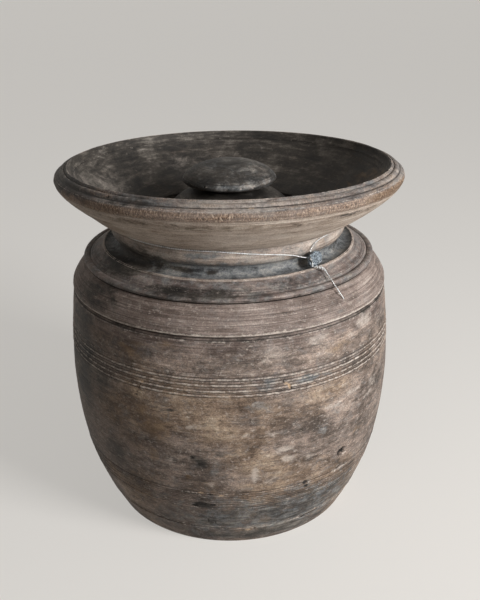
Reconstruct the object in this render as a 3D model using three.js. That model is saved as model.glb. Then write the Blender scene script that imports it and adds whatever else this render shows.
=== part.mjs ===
// A turned wooden pot with a flared dish for a rim and a lid that drops into its neck.
// A twisted wire loop round the neck carries a crimped metal seal.
// Millimetres, +Z up. The origin is on the resting face, under the centre of the pot.
// The side with the seal faces -Y and a little towards +X.

import * as THREE from "three";

// Radii of the pot, each worked outwards from the mouth
const mouthRadius = 84;
const neckWall = 38.8;
const channelWidth = 11;
const lipEdge = 1.9;
const collarWidth = 13.8;
const beadWidth = 6.9;
const shoulderWidth = 13.5;
const bellySwell = 6.1;
const footDrawIn = 39.5;
const dishFlare = 59.2;
const rimTopWidth = 13.7;
const seatWidth = 14;

// Heights of the pot, each counted up from the one before
const bellyHeight = 165;
const upperBellyRise = 89;
const shoulderRise = 24;
const beadRise = 5.4;
const collarRise = 9;
const lipHeight = 2.3;
const neckRise = 24.8;
const dishRise = 46.7;
const rimTopRise = 12;

// Walls and floor of the hollow
const bellyWall = 18;
const floorThickness = 24;
const dishWall = 15;
const boreLength = 30;
const seatDrop = 8.3;

// Turned details
const turnedGrooveDepth = 3;
const turnedGrooveWidth = 4.4;
const channelDepth = 1.9;
const waistDepth = 2.8;
const filletBulge = 3;
const filletHeight = 16.3;
const quirkDepth = 1.4;
const rimBeadWidth = 5;
const rimGrooveWidth = 3;
const crestEdge = 1.5;
const boreEdge = 1.5;
const footEdge = 2;

// The dried-out wood has pulled the dish out of true: this is its rise towards the front, per millimetre,
// and its shift towards +X
const dishLean = 0.02;
const dishShift = 2.2;
const leanStart = 4;
const leanBlend = 16;

// Lid
const plugClearance = 3;
const flangeClearance = 3;
const seatGap = 0.3;
const plugLength = 17.8;
const plugEdge = 2;
const flangeThickness = 5.5;
const flangeEdge = 1.5;
const domeRadius = 64;
const brimRise = 13.2;
const domeRise = 19.8;
const stemRadius = 18.5;
const stemFillet = 7.5;
const stemHeight = 6.5;
const knobRadius = 49.5;
const knobLip = 5;
const knobHollow = 2;
const knobDome = 18.4;

// Wire, seal and the wire's free end
const wireDiameter = 1.4;
const wireClearance = 0.3;
const sealRadius = 6.8;
const sealSpread = 1.35;
const sealThickness = 8.4;
const sealEdge = 2;
const sealAngle = 40;
const sealTilt = 10;
const sealInset = 2;
const sealClearance = 0.4;

const aroundPot = 56;
const aroundLid = 48;
const aroundSeal = 20;
const curveSteps = 5;
const degrees = Math.PI / 180;

// Stations of the pot's outline
const neckRadius = mouthRadius + neckWall;
const waistRadius = neckRadius - waistDepth;
const lipRadius = neckRadius + channelWidth;
const collarTop = lipRadius + lipEdge;
const collarFoot = collarTop + collarWidth;
const beadRadius = collarFoot + beadWidth;
const shoulderRadius = beadRadius + shoulderWidth;
const bellyRadius = shoulderRadius + bellySwell;
const footRadius = bellyRadius - footDrawIn;
const rimRadius = neckRadius + dishFlare;
const crestRadius = rimRadius - rimTopWidth;
const seatRadius = mouthRadius + seatWidth;

const lowerGroove = bellyHeight + upperBellyRise;
const shoulderHeight = lowerGroove + turnedGrooveWidth;
const upperGroove = shoulderHeight + shoulderRise;
const beadFoot = upperGroove + turnedGrooveWidth;
const collarFootHeight = upperGroove + turnedGrooveWidth + beadRise - 2;
const collarTopHeight = collarFootHeight + collarRise;
const lipTop = collarTopHeight + lipHeight;
const creaseHeight = lipTop + neckRise;
const rimHeight = creaseHeight + dishRise;
const crestHeight = rimHeight + rimTopRise;
const seatHeight = creaseHeight - seatDrop;
const boreFoot = seatHeight - boreLength;

const wood = new THREE.MeshStandardMaterial({ color: 0x86786c, roughness: 0.72, metalness: 0 });
const darkWood = new THREE.MeshStandardMaterial({ color: 0x4a443f, roughness: 0.6, metalness: 0 });
const wireSteel = new THREE.MeshStandardMaterial({ color: 0xb9bcbd, roughness: 0.35, metalness: 1 });
const lead = new THREE.MeshStandardMaterial({ color: 0x6d7680, roughness: 0.6, metalness: 0.8 });

// Turns an outline of (radius, height) points about +Z.
function turned(outline, around) {
  const geometry = new THREE.LatheGeometry(outline.getPoints(curveSteps), around);
  geometry.rotateX(Math.PI / 2);
  return geometry;
}

// Leans and shifts what lies above the neck, more with height until the dish is clear of it.
function warpDish(geometry) {
  const points = geometry.getAttribute("position");
  for (let i = 0; i < points.count; i++) {
    const above = (points.getZ(i) - creaseHeight - leanStart) / leanBlend;
    const share = THREE.MathUtils.smoothstep(above, 0, 1);
    points.setX(i, points.getX(i) + dishShift * share);
    points.setZ(i, points.getZ(i) - dishLean * share * points.getY(i));
  }
  geometry.computeVertexNormals();
  return geometry;
}

// The outside of the belly, from the resting face up to the shoulder
function drawBelly(outline) {
  const handle = 0.36 * bellyHeight;
  outline.moveTo(0, 0);
  outline.lineTo(footRadius - footEdge, 0);
  outline.lineTo(footRadius, footEdge);
  outline.bezierCurveTo(
    footRadius + 0.48 * handle, footEdge + 0.88 * handle,
    bellyRadius, bellyHeight - 0.46 * bellyHeight,
    bellyRadius, bellyHeight,
  );
  outline.bezierCurveTo(
    bellyRadius, bellyHeight + 0.45 * upperBellyRise,
    shoulderRadius + 0.3 * bellySwell, lowerGroove - 0.2 * upperBellyRise,
    shoulderRadius, lowerGroove,
  );
  outline.lineTo(shoulderRadius - turnedGrooveDepth, lowerGroove + 0.5 * turnedGrooveWidth);
  outline.lineTo(shoulderRadius, shoulderHeight);
  outline.bezierCurveTo(
    shoulderRadius + 0.5, shoulderHeight + 0.33 * shoulderRise,
    shoulderRadius - 0.5 * shoulderWidth, shoulderHeight + 0.7 * shoulderRise,
    beadRadius + 0.8, upperGroove,
  );
}

// The step under the neck: an incised groove, a bead, a sloping collar and the lip at its top
function drawCollar(outline) {
  outline.lineTo(beadRadius - 0.8 * turnedGrooveDepth, upperGroove + 0.6 * turnedGrooveWidth);
  outline.lineTo(beadRadius, beadFoot);
  outline.bezierCurveTo(
    beadRadius + 0.4, beadFoot + 0.7 * beadRise,
    beadRadius - 0.6 * beadWidth, beadFoot + 0.9 * beadRise,
    collarFoot, collarFootHeight,
  );
  outline.lineTo(collarTop, collarTopHeight);
  outline.lineTo(collarTop - 0.2 * lipEdge, lipTop - 0.3 * lipHeight);
  outline.lineTo(lipRadius, lipTop);
}

// The weathered channel behind the lip, and the swelling of the neck up to the crease under the dish
function drawNeck(outline) {
  const channelFloor = lipTop - channelDepth;
  const filletFoot = creaseHeight - filletHeight;
  outline.bezierCurveTo(
    lipRadius - 0.5 * channelWidth, channelFloor - channelDepth,
    waistRadius - 4, channelFloor,
    waistRadius, filletFoot,
  );
  outline.bezierCurveTo(
    neckRadius + filletBulge, filletFoot + 0.2 * filletHeight,
    neckRadius + 1.6 * filletBulge, creaseHeight - 0.3 * filletHeight,
    neckRadius, creaseHeight,
  );
}

// The dish: its underside, the moulded rim and the hollow face down to the lid's seat
function drawDish(outline) {
  const underX = neckRadius + 0.36 * dishFlare;
  const underZ = creaseHeight + 0.25 * dishRise;
  const outerX = rimRadius - 2;
  const outerZ = rimHeight - 0.28 * dishRise;
  outline.bezierCurveTo(underX, underZ, outerX, outerZ, rimRadius, rimHeight);
  const beadInner = crestRadius + rimGrooveWidth;
  const beadOuter = beadInner + rimBeadWidth;
  outline.lineTo(rimRadius - 0.5 * crestEdge, rimHeight + 0.25 * rimTopRise);
  outline.lineTo(beadOuter + 0.8 * crestEdge, crestHeight - 0.55 * rimTopRise);
  outline.lineTo(beadOuter - quirkDepth, crestHeight - 0.48 * rimTopRise);
  outline.lineTo(beadOuter, crestHeight - 0.36 * rimTopRise);
  outline.lineTo(beadOuter - 0.3 * rimBeadWidth, crestHeight - 0.18 * rimTopRise);
  outline.lineTo(beadInner, crestHeight - 0.22 * rimTopRise);
  outline.lineTo(crestRadius + 0.5 * rimGrooveWidth, crestHeight - 0.05 * rimTopRise);
  outline.lineTo(crestRadius, crestHeight);
  outline.lineTo(crestRadius - crestEdge, crestHeight - 0.7 * crestEdge);
  outline.bezierCurveTo(
    outerX - 1.1 * dishWall, outerZ + 0.6 * dishWall,
    underX - 0.5 * dishWall, underZ + 0.87 * dishWall,
    seatRadius + 2.5, seatHeight + 0.75 * dishWall,
  );
}

// The seat for the lid, the bore of the neck and the hollow of the belly
function drawHollow(outline) {
  const hollowRadius = bellyRadius - bellyWall;
  outline.lineTo(seatRadius, seatHeight + 0.6 * dishWall);
  outline.lineTo(seatRadius, seatHeight);
  outline.lineTo(mouthRadius + boreEdge, seatHeight);
  outline.lineTo(mouthRadius, seatHeight - boreEdge);
  outline.lineTo(mouthRadius, boreFoot);
  outline.bezierCurveTo(
    hollowRadius - 0.6 * bellyWall, boreFoot - 0.5 * bellyWall,
    hollowRadius, boreFoot - 0.43 * (boreFoot - bellyHeight),
    hollowRadius, bellyHeight,
  );
  outline.bezierCurveTo(
    hollowRadius, 0.58 * bellyHeight,
    hollowRadius - 0.5 * bellyWall, floorThickness + 4,
    hollowRadius - 3.2 * bellyWall, floorThickness,
  );
  outline.lineTo(0, floorThickness);
}

// Pot: one piece, turned from a single log
function makePot() {
  const outline = new THREE.Path();
  drawBelly(outline);
  drawCollar(outline);
  drawNeck(outline);
  drawDish(outline);
  drawHollow(outline);
  const pot = new THREE.Mesh(warpDish(turned(outline, aroundPot)), wood);
  pot.name = "pot_body";
  return pot;
}

// Lid: plug, flange, dome, stem and mushroom knob, turned as one piece; it lies off centre with the dish
function makeLid() {
  const plugRadius = mouthRadius - plugClearance;
  const flangeRadius = seatRadius - flangeClearance;
  const flangeUnder = seatHeight + seatGap;
  const plugFoot = flangeUnder - plugLength;
  const flangeTop = flangeUnder + flangeThickness;
  const domeFoot = flangeTop + brimRise;
  const stemFoot = domeFoot + domeRise;
  const knobUnder = stemFoot + stemHeight;
  const knobEdgeFoot = knobUnder - knobHollow;
  const knobEdge = knobEdgeFoot + knobLip;
  const outline = new THREE.Path();
  outline.moveTo(0, plugFoot);
  outline.lineTo(plugRadius - plugEdge, plugFoot);
  outline.lineTo(plugRadius, plugFoot + plugEdge);
  outline.lineTo(plugRadius, flangeUnder);
  outline.lineTo(flangeRadius - 0.7 * flangeEdge, flangeUnder);
  outline.lineTo(flangeRadius, flangeUnder + 0.7 * flangeEdge);
  outline.lineTo(flangeRadius, flangeTop - flangeEdge);
  outline.lineTo(flangeRadius - flangeEdge, flangeTop);
  outline.bezierCurveTo(
    0.86 * flangeRadius, flangeTop + 0.2 * brimRise,
    domeRadius + 7, domeFoot - 0.4 * brimRise,
    domeRadius, domeFoot,
  );
  outline.bezierCurveTo(
    0.88 * domeRadius, domeFoot + 0.45 * domeRise,
    0.72 * domeRadius, domeFoot + 0.86 * domeRise,
    stemRadius + stemFillet, stemFoot,
  );
  outline.bezierCurveTo(
    stemRadius + 0.4 * stemFillet, stemFoot,
    stemRadius, stemFoot + 0.3 * stemHeight,
    stemRadius, stemFoot + 0.6 * stemHeight,
  );
  outline.lineTo(stemRadius + 0.3 * stemFillet, knobUnder);
  outline.lineTo(knobRadius - knobLip, knobEdgeFoot);
  outline.bezierCurveTo(
    knobRadius - 0.2 * knobLip, knobEdgeFoot,
    knobRadius, knobEdge - 0.6 * knobLip,
    knobRadius, knobEdge,
  );
  outline.bezierCurveTo(
    0.94 * knobRadius, knobEdge + 0.5 * knobDome,
    0.5 * knobRadius, knobEdge + knobDome,
    0, knobEdge + knobDome,
  );
  const lid = new THREE.Mesh(turned(outline, aroundLid), darkWood);
  lid.name = "lid";
  lid.position.x = dishShift;
  return lid;
}

// A point at a turn of so many degrees from the front, counted towards +X.
function around(angle, radius, height) {
  return new THREE.Vector3(
    radius * Math.sin(angle * degrees),
    -radius * Math.cos(angle * degrees),
    height,
  );
}

// The middle of the seal: it stands on the lip and leans back towards the neck.
const sealTiltAngle = sealTilt * degrees;
const sealDepth = sealRadius * Math.cos(sealTiltAngle) + 0.5 * sealThickness * Math.sin(sealTiltAngle);
const sealMiddle = around(sealAngle, lipRadius - sealInset, lipTop + sealClearance + sealDepth);

// A wire laid along points, with square-cut ends.
function wireAlong(points, steps) {
  const section = new THREE.Shape();
  const sides = 8;
  for (let i = 0; i < sides; i++) {
    const turn = (2 * Math.PI * (i + 0.5)) / sides;
    const radius = 0.5 * wireDiameter;
    if (i === 0) section.moveTo(radius * Math.cos(turn), radius * Math.sin(turn));
    else section.lineTo(radius * Math.cos(turn), radius * Math.sin(turn));
  }
  return new THREE.ExtrudeGeometry(section, {
    steps,
    bevelEnabled: false,
    extrudePath: new THREE.CatmullRomCurve3(points, false, "centripetal"),
  });
}

// Wire loop: it lies in the crease under the dish all the way round the back,
// and hangs off the neck's swelling where the seal draws it down at the front right.
function makeWireLoop() {
  const reach = 0.5 * wireDiameter + wireClearance;
  const creaseRadius = neckRadius + 1.4 * reach;
  const creaseLevel = creaseHeight - 0.35 * reach;
  const swelling = neckRadius + filletBulge + reach;
  const besideSeal = (sealSpread * sealRadius + sealClearance + 0.5 * wireDiameter) / (lipRadius * degrees);
  const points = [
    around(sealAngle - besideSeal, lipRadius - sealInset - 1.2, sealMiddle.z + 3.2),
    around(sealAngle - besideSeal - 2, swelling + 2, sealMiddle.z + 4.2),
    around(sealAngle - 10, swelling + 0.6, creaseHeight - 10),
    around(sealAngle - 15, swelling + 0.2, creaseHeight - 7.5),
    around(sealAngle - 21, swelling, creaseHeight - 5.4),
    around(sealAngle - 29, swelling - 0.3, creaseHeight - 3.2),
    around(sealAngle - 37, creaseRadius + 1.2, creaseHeight - 1.4),
  ];
  for (let angle = sealAngle - 46; angle > sealAngle - 350; angle -= 8) {
    points.push(around(angle, creaseRadius, creaseLevel));
  }
  points.push(
    around(sealAngle - 353, creaseRadius + 0.6, creaseHeight - 1.6),
    around(sealAngle - 356.8, swelling - 1, creaseHeight - 3.3),
    around(sealAngle - 359.3, swelling + 0.5, creaseHeight - 5.4),
    around(sealAngle - 360.8, swelling + 1.2, sealMiddle.z + sealRadius + 2.4),
    around(sealAngle - 361.4, swelling + 1.7, sealMiddle.z + sealRadius + 0.4),
  );
  const wire = new THREE.Mesh(wireAlong(points, 80), wireSteel);
  wire.name = "seal_wire";
  return wire;
}

// Seal: a lead slug squeezed on the wire's two ends, which spread it wider than it is tall
function makeSeal() {
  const half = 0.5 * sealThickness;
  const outline = new THREE.Path();
  outline.moveTo(0, -half);
  outline.lineTo(sealRadius - sealEdge, -half);
  outline.bezierCurveTo(
    sealRadius - 0.3 * sealEdge, -half,
    sealRadius, -half + 0.3 * sealEdge,
    sealRadius, 0,
  );
  outline.bezierCurveTo(
    sealRadius, half - 0.3 * sealEdge,
    sealRadius - 0.3 * sealEdge, half,
    sealRadius - sealEdge, half,
  );
  outline.lineTo(0, half);
  const geometry = turned(outline, aroundSeal);
  geometry.scale(sealSpread, 1, 1);
  geometry.rotateX(Math.PI / 2 - sealTiltAngle);
  geometry.rotateZ(sealAngle * degrees);
  const seal = new THREE.Mesh(geometry, lead);
  seal.name = "lead_seal";
  seal.position.copy(sealMiddle);
  return seal;
}

// Free end of the wire: out of the seal's foot, over the collar and down onto the shoulder
function makeWireTail() {
  const points = [
    new THREE.Vector3(91.0, -102.1, 302.5),
    new THREE.Vector3(93.4, -104.5, 300.4),
    new THREE.Vector3(95.4, -106.9, 298.5),
    new THREE.Vector3(97.2, -110.2, 296.3),
    new THREE.Vector3(99.2, -114.0, 294.0),
    new THREE.Vector3(101.3, -117.3, 291.4),
    new THREE.Vector3(103.6, -119.5, 288.0),
    new THREE.Vector3(106.2, -120.5, 284.2),
    new THREE.Vector3(109.0, -120.7, 279.8),
    new THREE.Vector3(112.1, -120.2, 274.8),
  ];
  const tail = new THREE.Mesh(wireAlong(points, 16), wireSteel);
  tail.name = "wire_tail";
  return tail;
}

const pot = new THREE.Group();
pot.name = "lidded_pot";
pot.add(makePot(), makeLid(), makeWireLoop(), makeSeal(), makeWireTail());

export default pot;
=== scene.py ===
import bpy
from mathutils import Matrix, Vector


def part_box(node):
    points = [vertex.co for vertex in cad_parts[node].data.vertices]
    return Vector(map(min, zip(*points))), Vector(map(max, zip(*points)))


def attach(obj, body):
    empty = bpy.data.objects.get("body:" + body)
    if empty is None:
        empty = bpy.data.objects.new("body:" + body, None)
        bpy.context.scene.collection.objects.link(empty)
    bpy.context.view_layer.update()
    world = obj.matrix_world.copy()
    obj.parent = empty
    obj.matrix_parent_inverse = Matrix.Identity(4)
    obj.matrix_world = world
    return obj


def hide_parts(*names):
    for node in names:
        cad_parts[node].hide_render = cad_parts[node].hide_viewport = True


bl_info = {
    "name": "Lidded Wooden Pot",
    "version": (1, 0, 0),
    "blender": (4, 5, 0),
    "location": "3D View > Sidebar > Pot",
    "description": "A turned wooden pot with a flared dish rim, a drop-in lid and a wired lead seal",
    "category": "Add Mesh",
}

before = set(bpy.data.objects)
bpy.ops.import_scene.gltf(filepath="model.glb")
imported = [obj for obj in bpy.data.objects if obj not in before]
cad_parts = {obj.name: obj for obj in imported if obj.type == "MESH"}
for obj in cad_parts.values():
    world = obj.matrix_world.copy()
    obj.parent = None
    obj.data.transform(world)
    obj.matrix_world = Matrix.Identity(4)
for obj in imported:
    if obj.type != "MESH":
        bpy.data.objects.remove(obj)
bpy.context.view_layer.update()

import math

import bmesh
import bpy
from mathutils import Matrix, Vector, kdtree, noise
from mathutils.geometry import interpolate_bezier

MM = 0.001
GAP = 0.3 * MM  # between pieces that rest on or meet each other


# Small tools shared by every piece

def linear(code):
    """An sRGB hex colour, such as 0x86786C, as linear red, green, blue and alpha."""
    channels = [(code >> shift & 255) / 255 for shift in (16, 8, 0)]
    return tuple(c / 12.92 if c <= 0.04045 else ((c + 0.055) / 1.055) ** 2.4 for c in channels) + (1.0,)


def per(millimetres):
    """How many features of that size fit in one metre: the scale of a pattern on Object coordinates."""
    return 1000 / millimetres


def around(azimuth, radius, height):
    """The point at a turn of so many degrees from the front, counted towards +X."""
    turn = math.radians(azimuth)
    return Vector((radius * math.sin(turn), -radius * math.cos(turn), height))


def smooth(value, low, high):
    """0 below low, 1 above high and an even ease between them."""
    share = min(1.0, max(0.0, (value - low) / (high - low)))
    return share * share * (3 - 2 * share)


def length(name, description, default):
    """A size that the user can change, in metres."""
    return bpy.props.FloatProperty(
        name=name, description=description, default=default, min=0.0, precision=4, unit="LENGTH"
    )


def colour(name, description, code):
    """A colour that the user can change, kept linear."""
    return bpy.props.FloatVectorProperty(
        name=name, description=description, default=linear(code), size=4, min=0.0, max=1.0, subtype="COLOR"
    )


def node_size(node, axis):
    """How far a CAD node reaches along an axis, in metres."""
    low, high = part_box(node)
    return high[axis] - low[axis]


def placed(name, data):
    """Puts an object made of this data in the scene."""
    thing = bpy.data.objects.new(name, data)
    bpy.context.scene.collection.objects.link(thing)
    return thing


def new_material(name):
    """An empty material and its node tree."""
    material = bpy.data.materials.new(name)
    material.use_nodes = True
    material.node_tree.nodes.clear()
    return material, material.node_tree


def add(tree, kind, inputs=None, stops=None, **settings):
    """Adds a node with its settings. Each input is a value, or the node or the socket that feeds it."""
    node = tree.nodes.new(kind)
    for name, value in settings.items():
        setattr(node, name, value)
    for key, value in (inputs or {}).items():
        socket = node.inputs[key] if isinstance(key, int) else next(
            one for one in node.inputs if one.name == key and one.enabled)
        if isinstance(value, bpy.types.Node):
            value = next(one for one in value.outputs if one.enabled)
        if isinstance(value, bpy.types.NodeSocket):
            tree.links.new(value, socket)
        else:
            socket.default_value = value
    if stops:
        ramp = node.color_ramp.elements
        while len(ramp) < len(stops):
            ramp.new(1.0)
        for element, (place, shade) in zip(ramp, stops):
            element.position = place
            element.color = shade if hasattr(shade, "__len__") else (shade, shade, shade, 1.0)
    return node


# Sizes and colours that a user would change

class PotSizes(bpy.types.PropertyGroup):
    """The driving sizes of the pot, the lid, the wire and the seal."""

    rim_radius: length("Rim radius", "Widest radius of the dish", node_size("pot_body", 1) / 2)
    rim_height: length("Rim height", "Height of the widest ring of the dish", 0.373)
    crest_radius: length("Crest radius", "Radius of the dish's inner edge", 0.1683)
    crest_height: length("Crest height", "Height of the dish's inner edge", 0.385)
    neck_radius: length("Neck radius", "Radius of the crease under the dish", 0.1228)
    crease_height: length("Crease height", "Height of the crease under the dish", 0.3263)
    lip_radius: length("Lip radius", "Radius of the lip round the neck's channel", 0.1338)
    lip_height: length("Lip height", "Height of the lip's top", 0.30145)
    shoulder_radius: length("Shoulder radius", "Radius at the groove between belly and shoulder", 0.1697)
    shoulder_height: length("Shoulder height", "Height of the groove between belly and shoulder", 0.2562)
    belly_radius: length("Belly radius", "Widest radius of the belly", 0.176)
    belly_height: length("Belly height", "Height of the belly's widest ring", 0.165)
    foot_radius: length("Foot radius", "Radius of the foot", 0.1365)
    mouth_radius: length("Mouth radius", "Radius of the bore through the neck", 0.084)
    seat_height: length("Seat height", "Height of the ledge that the lid lies on", 0.318)
    seat_width: length("Seat width", "Width of the ledge that the lid lies on", 0.014)
    wall: length("Wall", "Thickness of the belly's wall", 0.018)
    floor: length("Floor", "Thickness of the floor", 0.024)
    dish_lean: bpy.props.FloatProperty(
        name="Dish lean", description="Rise of the warped dish towards the front, per metre", default=0.02
    )
    dish_shift: length("Dish shift", "How far the warped dish and the lid lie to the right", 0.0022)
    knob_radius: length("Knob radius", "Radius of the lid's knob", 0.0495)
    knob_height: length("Knob height", "Height of the knob's widest ring", 0.3663)
    knob_rise: length("Knob rise", "Rise of the knob's dome above its widest ring", 0.0184)
    flange_radius: length("Flange radius", "Radius of the lid's flange", node_size("lid", 1) / 2)
    plug_radius: length("Plug radius", "Radius of the lid's plug", 0.081)
    plug_length: length("Plug length", "How far the lid's plug reaches into the neck", 0.0178)
    wire_diameter: length("Wire diameter", "Width of the twisted wire", 0.0014)
    wire_pitch: length("Wire pitch", "Length of one full turn of the wire's twist", 0.0046)
    seal_half_width: length("Seal half width", "Half the width of the crimped seal", 0.00918)
    seal_half_height: length("Seal half height", "Half the height of the crimped seal", 0.0068)
    seal_thickness: length("Seal thickness", "Thickness of the crimped seal", 0.0084)


class PotColours(bpy.types.PropertyGroup):
    """The colours of the wood, the wire and the seal."""

    umber: colour("Umber", "Dark handled wood", 0x3B332D)
    loam: colour("Loam", "Darker brown of the worn wood", 0x5F534B)
    brown: colour("Brown", "Middle brown of the worn wood", 0x84756B)
    tan: colour("Tan", "Lighter brown of the worn wood", 0xA59285)
    # Along edges this shade is rubbed wear and painted highlight.
    bleached: colour("Bleached", "Wood rubbed pale along edges", 0xCBBFB4)
    russet: colour("Russet", "Reddish brown patches", 0x79624C)
    ash: colour("Ash", "Grey weathered film", 0x858280)
    slate: colour("Slate", "Blue-grey film in the neck's channel", 0x747677)
    # The soot shades also colour dark stains, some of them painted shade, and the hollow, whose dark is
    # painted shade.
    soot_and_shade: colour("Soot", "Charcoal brown of the dish's inside", 0x403B36)
    # This shade is packed dirt and painted shade in grooves, creases and pits.
    dirt_and_shade: colour("Dirt", "Dirt packed in the grooves", 0x1D1815)
    fresh: colour("Fresh wood", "Raw wood where a chip broke away", 0xC9AE90)
    lead: colour("Lead", "Dull blue-grey lead", 0x646D75)
    oxide: colour("Oxide", "White bloom on the lead", 0xD3D8DC)
    zinc: colour("Zinc", "Bright zinc on the wire", 0xF2F3F2)


# Turned outlines

FLATTEST_SLOPE = 0.05  # the least rise per length that still finds a groove's place by its height


class Outline:
    """Half the section of a turned piece: stations of radius and height, each in a named stretch.

    dark says how deep a station lies in a groove and pale how far it stands out on an edge, both 0 to 1. The
    material paints dark as dirt with painted shade, and pale as rubbed wear with painted highlight.
    """

    def __init__(self, radius, height, stretch):
        self.stations = [(Vector((radius, height)), stretch, 0.0, 0.0)]

    def line(self, radius, height, stretch, spacing=4 * MM, dark=0.0, pale=0.0):
        """Runs straight to a station, which may be dark or pale itself."""
        start, end = self.stations[-1][0], Vector((radius, height))
        steps = max(1, round((end - start).length / spacing))
        for step in range(1, steps):
            self.stations.append((start.lerp(end, step / steps), stretch, 0.0, 0.0))
        self.stations.append((end, stretch, dark, pale))

    def curve(self, first, second, end, stretch, spacing=4 * MM, dark=0.0, pale=0.0):
        """Runs along a cubic curve with two handles."""
        start, first, second, end = self.stations[-1][0], Vector(first), Vector(second), Vector(end)
        reach = (first - start).length + (second - first).length + (end - second).length
        steps = max(2, round(reach / spacing))
        for place in interpolate_bezier(start, first, second, end, steps + 1)[1:-1]:
            self.stations.append((place.to_2d(), stretch, 0.0, 0.0))
        self.stations.append((end, stretch, dark, pale))

    def engrave(self, stretch, height, half_width, depth, dark, pale):
        """Cuts a turned groove, dark with dirt and painted shade, with pale lips of rubbed wear and painted
        highlight into a stretch, or with a negative depth leaves a ridge.
        """
        own = [i for i, station in enumerate(self.stations) if station[1] == stretch]
        nearest = min(own, key=lambda i: abs(self.stations[i][0].y - height))
        before, after = self.stations[nearest - 1][0], self.stations[nearest + 1][0]
        along = (after - before).normalized()
        inward = Vector((-along.y, along.x))
        steepness = along.y if abs(along.y) > FLATTEST_SLOPE else FLATTEST_SLOPE
        centre = before + along * ((height - before.y) / steepness)
        # From the middle outwards: shares of the half width and of the depth, then how dark and how pale
        groove = (
            (0.0, 1.0, dark, 0.0), (0.7, 0.25, 0.4 * dark, 0.3 * pale),
            (1.2, -0.45 * pale, 0.0, pale), (1.9, 0.0, 0.0, 0.0),
        )
        ridge = (
            (0.0, 1.0, 0.0, pale), (0.6, 0.7, 0.0, 0.8 * pale),
            (1.3, -0.6, dark, 0.0), (2.0, 0.0, 0.0, 0.0),
        )
        half = groove if depth > 0 else ridge
        section = [(-share, *rest) for share, *rest in reversed(half[1:])] + list(half)
        cut = [
            (centre + along * (along_share * half_width) + inward * (depth_share * depth), stretch, d, p)
            for along_share, depth_share, d, p in section
        ]
        reach = 2.3 * half_width
        covered = [
            i for i in own
            if abs((self.stations[i][0] - centre).dot(along)) <= reach
            and (self.stations[i][0] - centre).length < 4 * reach
        ]
        first = covered[0] if covered else nearest + (self.stations[nearest][0].y < height)
        last = covered[-1] + 1 if covered else first
        self.stations[first:last] = cut

    def engrave_all(self, lines):
        """Cuts a table of grooves and ridges, whose sizes are in millimetres."""
        for stretch, height, half_width, depth, dark, pale in lines:
            self.engrave(stretch, height * MM, half_width * MM, depth * MM, dark, pale)


def turned(outline, looks, sides):
    """Spins an outline round the Z axis into a closed mesh.

    The vertex colours zones and wear tell the wood's material what each stretch is like, and
    level keeps a vertex's height before the dish is warped.
    """
    mesh = bmesh.new()
    zones = mesh.verts.layers.float_color.new("zones")
    wear = mesh.verts.layers.float_color.new("wear")
    level = mesh.verts.layers.float.new("level")
    verts = []
    for place, stretch, dark, pale in outline.stations:
        vert = mesh.verts.new((0.0, -place.x, place.y))
        vert[zones] = looks[stretch]
        vert[wear] = (dark, pale, 0.0, 1.0)
        vert[level] = place.y
        verts.append(vert)
    edges = [mesh.edges.new(pair) for pair in zip(verts, verts[1:])]
    bmesh.ops.spin(
        mesh, geom=verts + edges, cent=(0, 0, 0), axis=(0, 0, 1), angle=math.tau, steps=sides, use_merge=True
    )
    bmesh.ops.remove_doubles(mesh, verts=mesh.verts, dist=1e-6)
    bmesh.ops.recalc_face_normals(mesh, faces=mesh.faces)
    return mesh


STAIN_CORE = 0.12  # share of a stain's width from its middle at which it starts to fade
STAIN_EDGE = 0.5  # share of its width at which it ends


def is_sooty_and_unlit(vert, zones):
    """Whether a vertex lies on darkened wood: the lid, the dish's inside with the seat, and the hollow, whose
    dark is painted shade of its unlit inside.
    """
    return vert[zones][0] > 0.5


def stained(mesh, plain_wood_stains_and_shade, dark_wood_stains_and_shade):
    """Paints soft-edged stains on a turned piece: dark, slate, pale and russet, which the material breaks up.
    Some dark ones are painted shade.

    Each stain is azimuth in degrees, height, width and tallness in millimetres, then how dark, slate,
    pale and russet it is. Those on plain wood are kept apart from those on sooty wood.
    """
    layer = mesh.verts.layers.float_color.new("stains_and_shade")
    zones = mesh.verts.layers.float_color["zones"]
    level = mesh.verts.layers.float["level"]
    rings = {}
    for vert in mesh.verts:
        azimuth = math.degrees(math.atan2(vert.co.x, -vert.co.y))
        radius = math.hypot(vert.co.x, vert.co.y)
        height, sooty_and_unlit = vert[level] / MM, is_sooty_and_unlit(vert, zones)
        if (height, sooty_and_unlit) not in rings:
            stains_and_shade = dark_wood_stains_and_shade if sooty_and_unlit else plain_wood_stains_and_shade
            rings[height, sooty_and_unlit] = [stain for stain in stains_and_shade if abs(height - stain[1]) < stain[3] / 2]
        total = [0.0, 0.0, 0.0, 0.0]
        for turn, middle, wide, tall, *amounts in rings[height, sooty_and_unlit]:
            run = math.radians((azimuth - turn + 180) % 360 - 180) * radius / MM
            share = 1 - smooth(math.hypot(run / wide, (height - middle) / tall), STAIN_CORE, STAIN_EDGE)
            total = [max(most, share * amount) for most, amount in zip(total, amounts)]
        vert[layer] = total


DRUM = 170 * MM  # the radius of the drum on which marks are laid out before they are set on the wood
MARK_CUTS = 5  # cuts in each edge under a mark, which leaves about one vertex a millimetre
MARK_MARGIN = 2  # how far past a mark's edge the wood is cut finer, in millimetres
INWARD_LEAN = -0.3  # a surface that leans inwards by no more than this still counts as outer
SAME_SIDE = 0.1  # the least agreement of two normals on one side of the wood


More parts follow.
